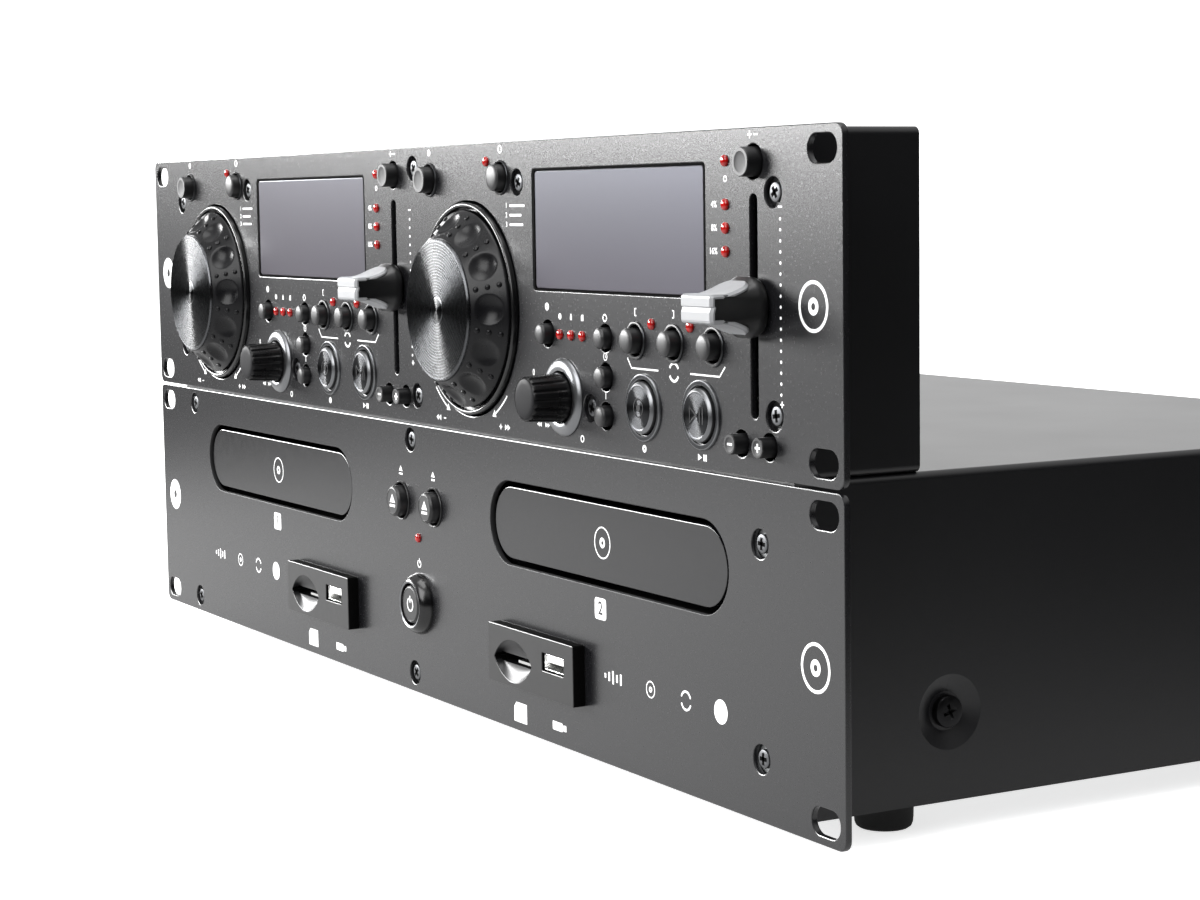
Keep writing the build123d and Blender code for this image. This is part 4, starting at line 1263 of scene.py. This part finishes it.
def makeSign(kind, x, z, k=1.0):
    # plain function signs, drawn as loops about a place, k times their plain size
    if kind == "forward":
        return [
            [(x + s - 1.6 * k, z - 0.9 * k), (x + s - 1.6 * k, z + 0.9 * k), (x + s, z)]
            for s in (0, 1.7 * k)
        ]
    if kind == "rewind":
        return [
            [(x - s + 1.6 * k, z + 0.9 * k), (x - s + 1.6 * k, z - 0.9 * k), (x - s, z)]
            for s in (0, 1.7 * k)
        ]
    if kind == "playPause":
        arrow = [(x - 2.0 * k, z - 0.9 * k), (x - 2.0 * k, z + 0.9 * k), (x - 0.1 * k, z)]
        return [arrow] + [roundedLoop(x + s, z, 0.55 * k, 1.8 * k, 0.1, 2) for s in (1.0 * k, 2.0 * k)]
    if kind == "disc":
        return [circleLoop(x, z, 1.05 * k, 28), circleLoop(x, z, 0.35 * k, 16)]
    if kind == "ring":
        return [circleLoop(x, z, 1.05 * k, 28), circleLoop(x, z, 0.68 * k, 24)]
    if kind == "card":
        return [[
            (x - 0.8 * k, z - 1.05 * k), (x + 0.8 * k, z - 1.05 * k), (x + 0.8 * k, z + 1.05 * k),
            (x - 0.3 * k, z + 1.05 * k), (x - 0.8 * k, z + 0.55 * k),
        ]]
    if kind == "stick":
        return [
            roundedLoop(x, z - 0.25 * k, 1.2 * k, 1.5 * k, 0.1, 2),
            roundedLoop(x, z + 0.85 * k, 0.7 * k, 0.5 * k, 0.05, 2),
        ]
    if kind == "cycle":
        arcs = [stroke(arcPoints(x, z, 0.95 * k, start, start + 130, 12), 0.4 * k) for start in (20, 200)]
        return arcs + [
            arrowHead(x - 0.95 * k, z + 0.3 * k, 250, 0.8 * k),
            arrowHead(x + 0.95 * k, z - 0.3 * k, 70, 0.8 * k),
        ]
    if kind == "clock":
        hands = stroke([(x, z + 0.6 * k), (x, z), (x + 0.45 * k, z - 0.25 * k)], 0.25 * k)
        return [circleLoop(x, z, 1.15 * k, 28), circleLoop(x, z, 0.85 * k, 24), hands]
    if kind in ("openBracket", "closeBracket"):
        side = -1 if kind == "openBracket" else 1
        points = [(x - side * 0.5 * k, z + 0.95 * k), (x + side * 0.3 * k, z + 0.95 * k),
                  (x + side * 0.3 * k, z - 0.95 * k), (x - side * 0.5 * k, z - 0.95 * k)]
        return [stroke(points, 0.42 * k)]
    if kind == "plus":
        arms = [roundedLoop(x, z + s * 0.65 * k, 0.5 * k, 0.8 * k, 0.05, 2) for s in (-1, 1)]
        return [roundedLoop(x, z, 2.1 * k, 0.5 * k, 0.05, 2)] + arms
    return [roundedLoop(x, z, 2.0 * k, 0.5 * k, 0.05, 2)]   # minus


controlPrint = {
    "signs": (
        ("cycle", 63.2, 86.0, 1.1), ("disc", 14.2, 86.0, 1.0), ("plus", 200.6, 86.3, 0.9),
        ("minus", 203.3, 86.3, 0.9), ("rewind", 17.6, 2.9, 1.0), ("minus", 22.0, 2.9, 0.8),
        ("forward", 65.0, 2.9, 1.0), ("plus", 60.6, 2.9, 0.8), ("disc", 91.4, 40.0, 1.1),
        ("disc", 99.2, 37.4, 0.85), ("stick", 105.8, 37.4, 0.85), ("card", 112.4, 37.4, 0.85),
        ("cycle", 125.4, 37.8, 1.0), ("clock", 125.4, 27.0, 1.0), ("openBracket", 142.4, 40.0, 1.0),
        ("closeBracket", 162.4, 40.0, 1.0), ("disc", 146.4, 2.9, 1.0), ("playPause", 176.3, 2.9, 1.0),
        ("rewind", 85.6, 5.4, 0.8), ("forward", 90.6, 5.4, 0.8), ("ring", 111.5, 3.0, 1.0),
        ("ring", 188.9, 75.4, 0.8), ("minus", 214.2, 68.2, 0.9), ("plus", 214.5, 19.2, 0.8),
    ),
    "numbers": (
        ("1", 125.4, 16.0, 2.8), ("4%", 183.4, 68.9, 2.4), ("8%", 183.4, 62.9, 2.4),
        ("16%", 182.9, 56.9, 2.4), ("0", 82.5, 20.4, 2.6), ("1", 66.8, 69.2, 2.2),
        ("2", 66.8, 66.4, 2.2), ("3", 66.8, 63.6, 2.2),
    ),
    "rules": ((73.6, 69.2, 9.5), (72.6, 66.4, 7.5), (73.1, 63.6, 8.5)), "ruleHeight": 0.7,
    "brackets": (
        ((137.75, 27.3), (140, 24.6), (154.3, 24.6)), ((170.8, 24.6), (185.4, 24.6), (188.1, 27.3)),
    ),
    "bracketWidth": 0.45,
    # an arc with an arrow under each side of the jog wheel, and two arcs between the brackets
    "jogArcs": ((226, 242), (314, 298)), "jogArcRadius": 35.3, "jogArcWidth": 0.5, "jogArrow": 2.2,
    "pair": (162.5, 24.6, 2.4), "pairStarts": (25, 205), "pairSweep": 130, "pairWidth": 0.7,
}


def makeControlPrint():
    bm = bmesh.new()
    loops = []
    plan = controlPrint
    for deck in decks:
        s, b = deckShift[deck], controlBase
        for first, last in plan["jogArcs"]:
            points = arcPoints(*centreOf(f"jog_wheel_{deck}"), plan["jogArcRadius"], first, last)
            loops.append(stroke(points, plan["jogArcWidth"]))
            direction = last + (90 if last > first else -90)
            loops.append(arrowHead(*points[-1], direction, plan["jogArrow"]))
        for kind, x, z, size in plan["signs"]:
            loops += makeSign(kind, x + s, b + z, size)
        for x, z, length in plan["rules"]:
            loops.append(roundedLoop(x + s, b + z, length, plan["ruleHeight"], 0.2, 2))
        for points in plan["brackets"]:
            loops.append(stroke([(x + s, b + z) for x, z in points], plan["bracketWidth"]))
        x, z, radius = plan["pair"]
        for start in plan["pairStarts"]:
            arc = arcPoints(x + s, b + z, radius, start, start + plan["pairSweep"], 16)
            loops.append(stroke(arc, plan["pairWidth"]))
        for words, x, z, size in plan["numbers"]:
            addText(bm, words, x + s, b + z, size)
    addPlate(bm, loops, 0, ink)
    settle("controlPrint", bm, [printedInk], weld=False)


def discMark(x, z, size):
    return [
        circleLoop(x, z, size, 64), circleLoop(x, z, size * 0.86, 64),
        circleLoop(x, z, size * 0.34, 40), circleLoop(x, z, size * 0.14, 24),
    ]


drivePrint = {
    "tag": (44.2, 6.5, 6.2), "number": 5.4, "numberOut": 0.09, "eject": (1.3, 71.2, 72.1, 73.9),
    "power": (0.6, 42.9), "powerRadius": 1.2, "powerStem": (43.0, 44.6), "powerLine": 0.4,
    "row": 25.5, "rows": ((127.2, 148.0, 166.7), (-180.0, -158.9, -140.6)), "rounds": (184.3, -123.2),
    "bars": (1.4, 2.6, 3.8, 2.2, 3.2), "barPitch": 2.2, "disc": 2.4, "arrows": 2.5, "round": 3.3,
    "readers": 5.7, "card": -14, "stick": 10.7,
}


def makeDrivePrint():
    bm = bmesh.new()
    plan, b = drivePrint, driveBase
    loops = []
    for deck in decks:
        x = centreOf(f"tray_door_{deck}")[0]
        z, width, height = plan["tag"]
        loops.append(roundedLoop(x, b + z, width, height, 1.0))
        addText(bm, deck, x, b + z, plan["number"], plan["numberOut"], 1)
        x = centreOf(f"eject_button_{deck}")[0]
        half, bar, foot, tip = plan["eject"]
        loops.append([(x - half, b + foot), (x + half, b + foot), (x, b + tip)])
        loops.append(roundedLoop(x, b + bar, 2 * half, 0.6, 0.1, 2))
    x, z = plan["power"]
    stem = [(x, b + height) for height in plan["powerStem"]]
    for points in (arcPoints(x, b + z, plan["powerRadius"], 125, 415, 24), stem):
        loops.append(stroke(points, plan["powerLine"]))
    addPlate(bm, loops, 0, ink)
    marks = []
    z = b + plan["readers"]
    for place, _ in readerPlaces():
        x = place + plan["card"]
        marks.append([
            (x - 4.1, z - 3), (x + 4.1, z - 3), (x + 4.1, z + 3), (x - 2.6, z + 3), (x - 4.1, z + 1.5),
        ])
        x = place + plan["stick"]
        marks.append(roundedLoop(x - 1.2, z, 6.0, 2.6, 0.3, 2))
        marks.append(roundedLoop(x + 3.2, z, 1.8, 1.8, 0.1, 2))
    z = b + plan["row"]
    for meter, disc, arrows in plan["rows"]:
        for k, height in enumerate(plan["bars"]):
            marks.append(roundedLoop(meter + (k - 2) * plan["barPitch"], z, 0.9, height, 0.2, 2))
        marks += discMark(disc, z, plan["disc"])
        for start in (20, 200):
            marks.append(stroke(arcPoints(arrows, z, plan["arrows"], start, start + 140), 0.6))
    marks += [circleLoop(x, z, plan["round"], 48) for x in plan["rounds"]]
    addPlate(bm, marks, 0, ink)
    settle("drivePrint", bm, [printedInk, texturedEnamel], weld=False)


discSigns = {"height": 44, "right": (228.5, 6.4), "left": (-229.0, 6.0, 1.6)}


def makeDiscSigns():
    # plain disc signs at both ends of the panels
    bm = bmesh.new()
    for base in (controlBase, driveBase):
        z = base + discSigns["height"]
        addPlate(bm, discMark(discSigns["right"][0], z, discSigns["right"][1]), 0, ink)
        x, outer, inner = discSigns["left"]
        addPlate(bm, [circleLoop(x, z, outer, 64), circleLoop(x, z, inner, 32)], 0, ink)
    settle("discSigns", bm, [printedInk], weld=False)


makeScaleDots()
makeControlPrint()
makeDrivePrint()
makeDiscSigns()
print("printing made")


# feet and side screws of the case, and the finish of every part that keeps its own shape
foot = {
    "radius": 8, "around": 48,
    "profile": ((7.9, 3.2), (7.75, 1.6), (7.4, 0.7), (6.7, 0.18), (6.0, 0.0), (0, 0.0)),
}
coverScrew = {"head": 4.3, "seat": 0.0, "reach": 2.2, "cross": 0.95, "span": 4.6, "depth": 1.3, "sunk": 2.0}


def makeFeet():
    low, high = boxOf("rubber_feet")
    radius, around = foot["radius"], foot["around"]
    profile = [(0, high.z), (radius, high.z), *foot["profile"]]
    angles = [2 * math.pi * k / around for k in range(around)]
    bm = bmesh.new()
    for x in (low.x + radius, high.x - radius):
        for y in (low.y + radius, high.y - radius):
            joinRings(bm, [[
                bm.verts.new(Vector((x + r * math.cos(a), y + r * math.sin(a), height)) / 1000)
                for a in (angles if r else angles[:1])
            ] for r, height in profile])
    settle("rubberFeet", bm, [footRubber], stands=["rubber_feet"])


def makeCoverScrews():
    # each turned a little further, as a hand leaves them
    low, high = boxOf("cover_screws")
    shape = screwShape(coverScrew)
    bm = bmesh.new()
    for side in (-1, 1):
        for y in (low.y + coverScrew["head"], high.y - coverScrew["head"]):
            across = side * (caseSide - coverScrew["sunk"])
            place = Matrix.Translation((across / 1000, y / 1000, (low.z + high.z) / 2000))
            mesh = shape.data.copy()
            mesh.transform(
                place @ Matrix.Rotation(math.pi / 2 * side, 4, "Z") @ Matrix.Rotation(0.4 + y * 0.01, 4, "Y")
            )
            bm.from_mesh(mesh)
            bpy.data.meshes.remove(mesh)
    dropShape(shape)
    settle("coverScrews", bm, [blackOxide], stands=["cover_screws"])


makeFeet()
makeCoverScrews()
for name, material in {
    "control_case": powderCoat, "drive_cover": powderCoat, "drive_chassis": zincSheet,
    "control_board": solderMask, "power_supply": solderMask, "disc_mechanisms": trayPlastic,
    "rear_sockets": nickelShell, "select_shaft_1": zincSheet, "select_shaft_2": zincSheet,
    "disc_tray_1": trayPlastic, "disc_tray_2": trayPlastic,
}.items():
    nodes[name].data.materials.clear()
    nodes[name].data.materials.append(material)
print("cases, feet and screws made")


# floor, world and lamps
floorLook = {
    "half": 6.0, "pale": "#f4f4f4", "dark": "#0a0a0a", "middle": (-0.2, -0.2, 0),
    "near": (0.3, 0.9), "fades": (1.0, 0.03), "gleam": 0.35, "glow": 0.7, "mute": -0.55,
}
room = {
    "behind": (-0.87, 0.49, 0), "backdropFrom": (0.80, 0.95), "backdrop": (0.04, 1.6),
    "aboveFrom": (0.25, 0.75), "above": (0.0, 0.9),
}
# place, aim, width, height and power
softboxes = {
    # a wide one stands front left, a little above the height of the panels
    "frontSoftbox": ((-2.15, -1.47, 0.68), (-0.1, -0.12, 0.3), 1.9, 0.55, 135),
    # broad fills beside the camera and overhead keep white print white and the blacks readable
    "fillSoftbox": ((0.9, -2.5, 1.7), (0, -0.1, 0.1), 2.0, 2.0, 80),
    "topSoftbox": ((0.0, -0.5, 2.4), (0, 0, 0), 1.6, 1.6, 40),
}


def makeStage():
    half = floorLook["half"]
    mesh = bpy.data.meshes.new("floor")
    corners = [(x * half, y * half, 0) for x, y in ((-1, -1), (1, -1), (1, 1), (-1, 1))]
    mesh.from_pydata(corners, [], [(0, 1, 2, 3)])
    material = bpy.data.materials.new("paleFloor")
    material.use_nodes = True
    tree = material.node_tree
    shader = tree.nodes["Principled BSDF"]
    shader.inputs["Roughness"].default_value = 0.9
    shader.inputs["Specular IOR Level"].default_value = 0.0
    shader.inputs["Emission Color"].default_value = (1, 1, 1, 1)
    # the floor is white to the camera; what gleams sees it fade away from the object
    place = addNode(tree, "ShaderNodeTexCoord").outputs["Object"]
    rays = addNode(tree, "ShaderNodeLightPath").outputs
    gap = addNode(tree, "ShaderNodeVectorMath", {
        0: place, 1: floorLook["middle"],
    }, operation="DISTANCE")
    near = addNode(tree, "ShaderNodeMapRange", {
        "Value": gap.outputs["Value"], "From Min": floorLook["near"][0], "From Max": floorLook["near"][1],
        "To Min": floorLook["fades"][0], "To Max": floorLook["fades"][1],
    }, interpolation_type="SMOOTHSTEP").outputs["Result"]
    gleam = addNode(tree, "ShaderNodeMath", {0: rays["Is Glossy Ray"], 1: near}, operation="MULTIPLY")
    direct = addNode(tree, "ShaderNodeMath", {
        0: rays["Is Camera Ray"], 1: rays["Is Transmission Ray"],
    }, operation="MAXIMUM")
    faint = addNode(tree, "ShaderNodeMath", {
        0: gleam.outputs[0], 1: floorLook["gleam"],
    }, operation="MULTIPLY")
    clear = addNode(tree, "ShaderNodeMath", {
        0: direct.outputs[0], 1: floorLook["glow"],
    }, operation="MULTIPLY")
    glow = addNode(tree, "ShaderNodeMath", {0: faint.outputs[0], 1: clear.outputs[0]}, operation="MAXIMUM")
    muted = addNode(tree, "ShaderNodeMath", {
        0: rays["Is Glossy Ray"], 1: floorLook["mute"], 2: 1.0,
    }, operation="MULTIPLY_ADD")
    bounced = addNode(tree, "ShaderNodeMath", {0: near, 1: muted.outputs[0]}, operation="MULTIPLY")
    shown = addNode(tree, "ShaderNodeMath", {
        0: bounced.outputs[0], 1: rays["Is Camera Ray"],
    }, operation="MAXIMUM")
    blend = addNode(tree, "ShaderNodeMix", {
        "Factor": shown.outputs[0], "A": hexColour(floorLook["dark"]), "B": hexColour(floorLook["pale"]),
    }, data_type="RGBA")
    tree.links.new(blend.outputs["Result"], shader.inputs["Base Color"])
    tree.links.new(glow.outputs[0], shader.inputs["Emission Strength"])
    mesh.materials.append(material)
    floor = addObject("floor", mesh)


def makeWorld():
    # a white backdrop behind the object, a dim room before it and an even glow overhead
    world = bpy.data.worlds.new("studio")
    bpy.context.scene.world = world
    world.use_nodes = True
    tree = world.node_tree
    tree.nodes.clear()
    towards = addNode(tree, "ShaderNodeTexCoord").outputs["Generated"]
    behind = addNode(tree, "ShaderNodeVectorMath", {0: towards, 1: room["behind"]}, operation="DOT_PRODUCT")
    backdrop = addNode(tree, "ShaderNodeMapRange", {
        "Value": behind.outputs["Value"], "From Min": room["backdropFrom"][0],
        "From Max": room["backdropFrom"][1], "To Min": room["backdrop"][0], "To Max": room["backdrop"][1],
    }, interpolation_type="SMOOTHSTEP")
    height = addNode(tree, "ShaderNodeSeparateXYZ", {0: towards}).outputs["Z"]
    above = addNode(tree, "ShaderNodeMapRange", {
        "Value": height, "From Min": room["aboveFrom"][0], "From Max": room["aboveFrom"][1],
        "To Min": room["above"][0], "To Max": room["above"][1],
    }, interpolation_type="SMOOTHSTEP")
    lit = addNode(tree, "ShaderNodeMath", {0: backdrop.outputs[0], 1: above.outputs[0]}, operation="MAXIMUM")
    rays = addNode(tree, "ShaderNodeLightPath").outputs
    direct = addNode(tree, "ShaderNodeMath", {
        0: rays["Is Camera Ray"], 1: rays["Is Transmission Ray"],
    }, operation="MAXIMUM")
    level = addNode(tree, "ShaderNodeMath", {0: direct.outputs[0], 1: lit.outputs[0]}, operation="MAXIMUM")
    glow = addNode(tree, "ShaderNodeBackground", {"Color": (1, 1, 1, 1), "Strength": level.outputs[0]})
    addNode(tree, "ShaderNodeOutputWorld", {"Surface": glow.outputs[0]})


def makeLights():
    for name, (place, target, width, height, power) in softboxes.items():
        data = bpy.data.lights.new(name, "AREA")
        data.shape = "RECTANGLE"
        data.size = width
        data.size_y = height
        data.energy = power
        softbox = addObject(name, data)
        softbox.location = place
        softbox.rotation_euler = (Vector(target) - Vector(place)).to_track_quat("-Z", "Y").to_euler()


makeStage()
makeWorld()
makeLights()
bpy.context.scene.view_settings.view_transform = "Standard"
print("stage and lamps set")
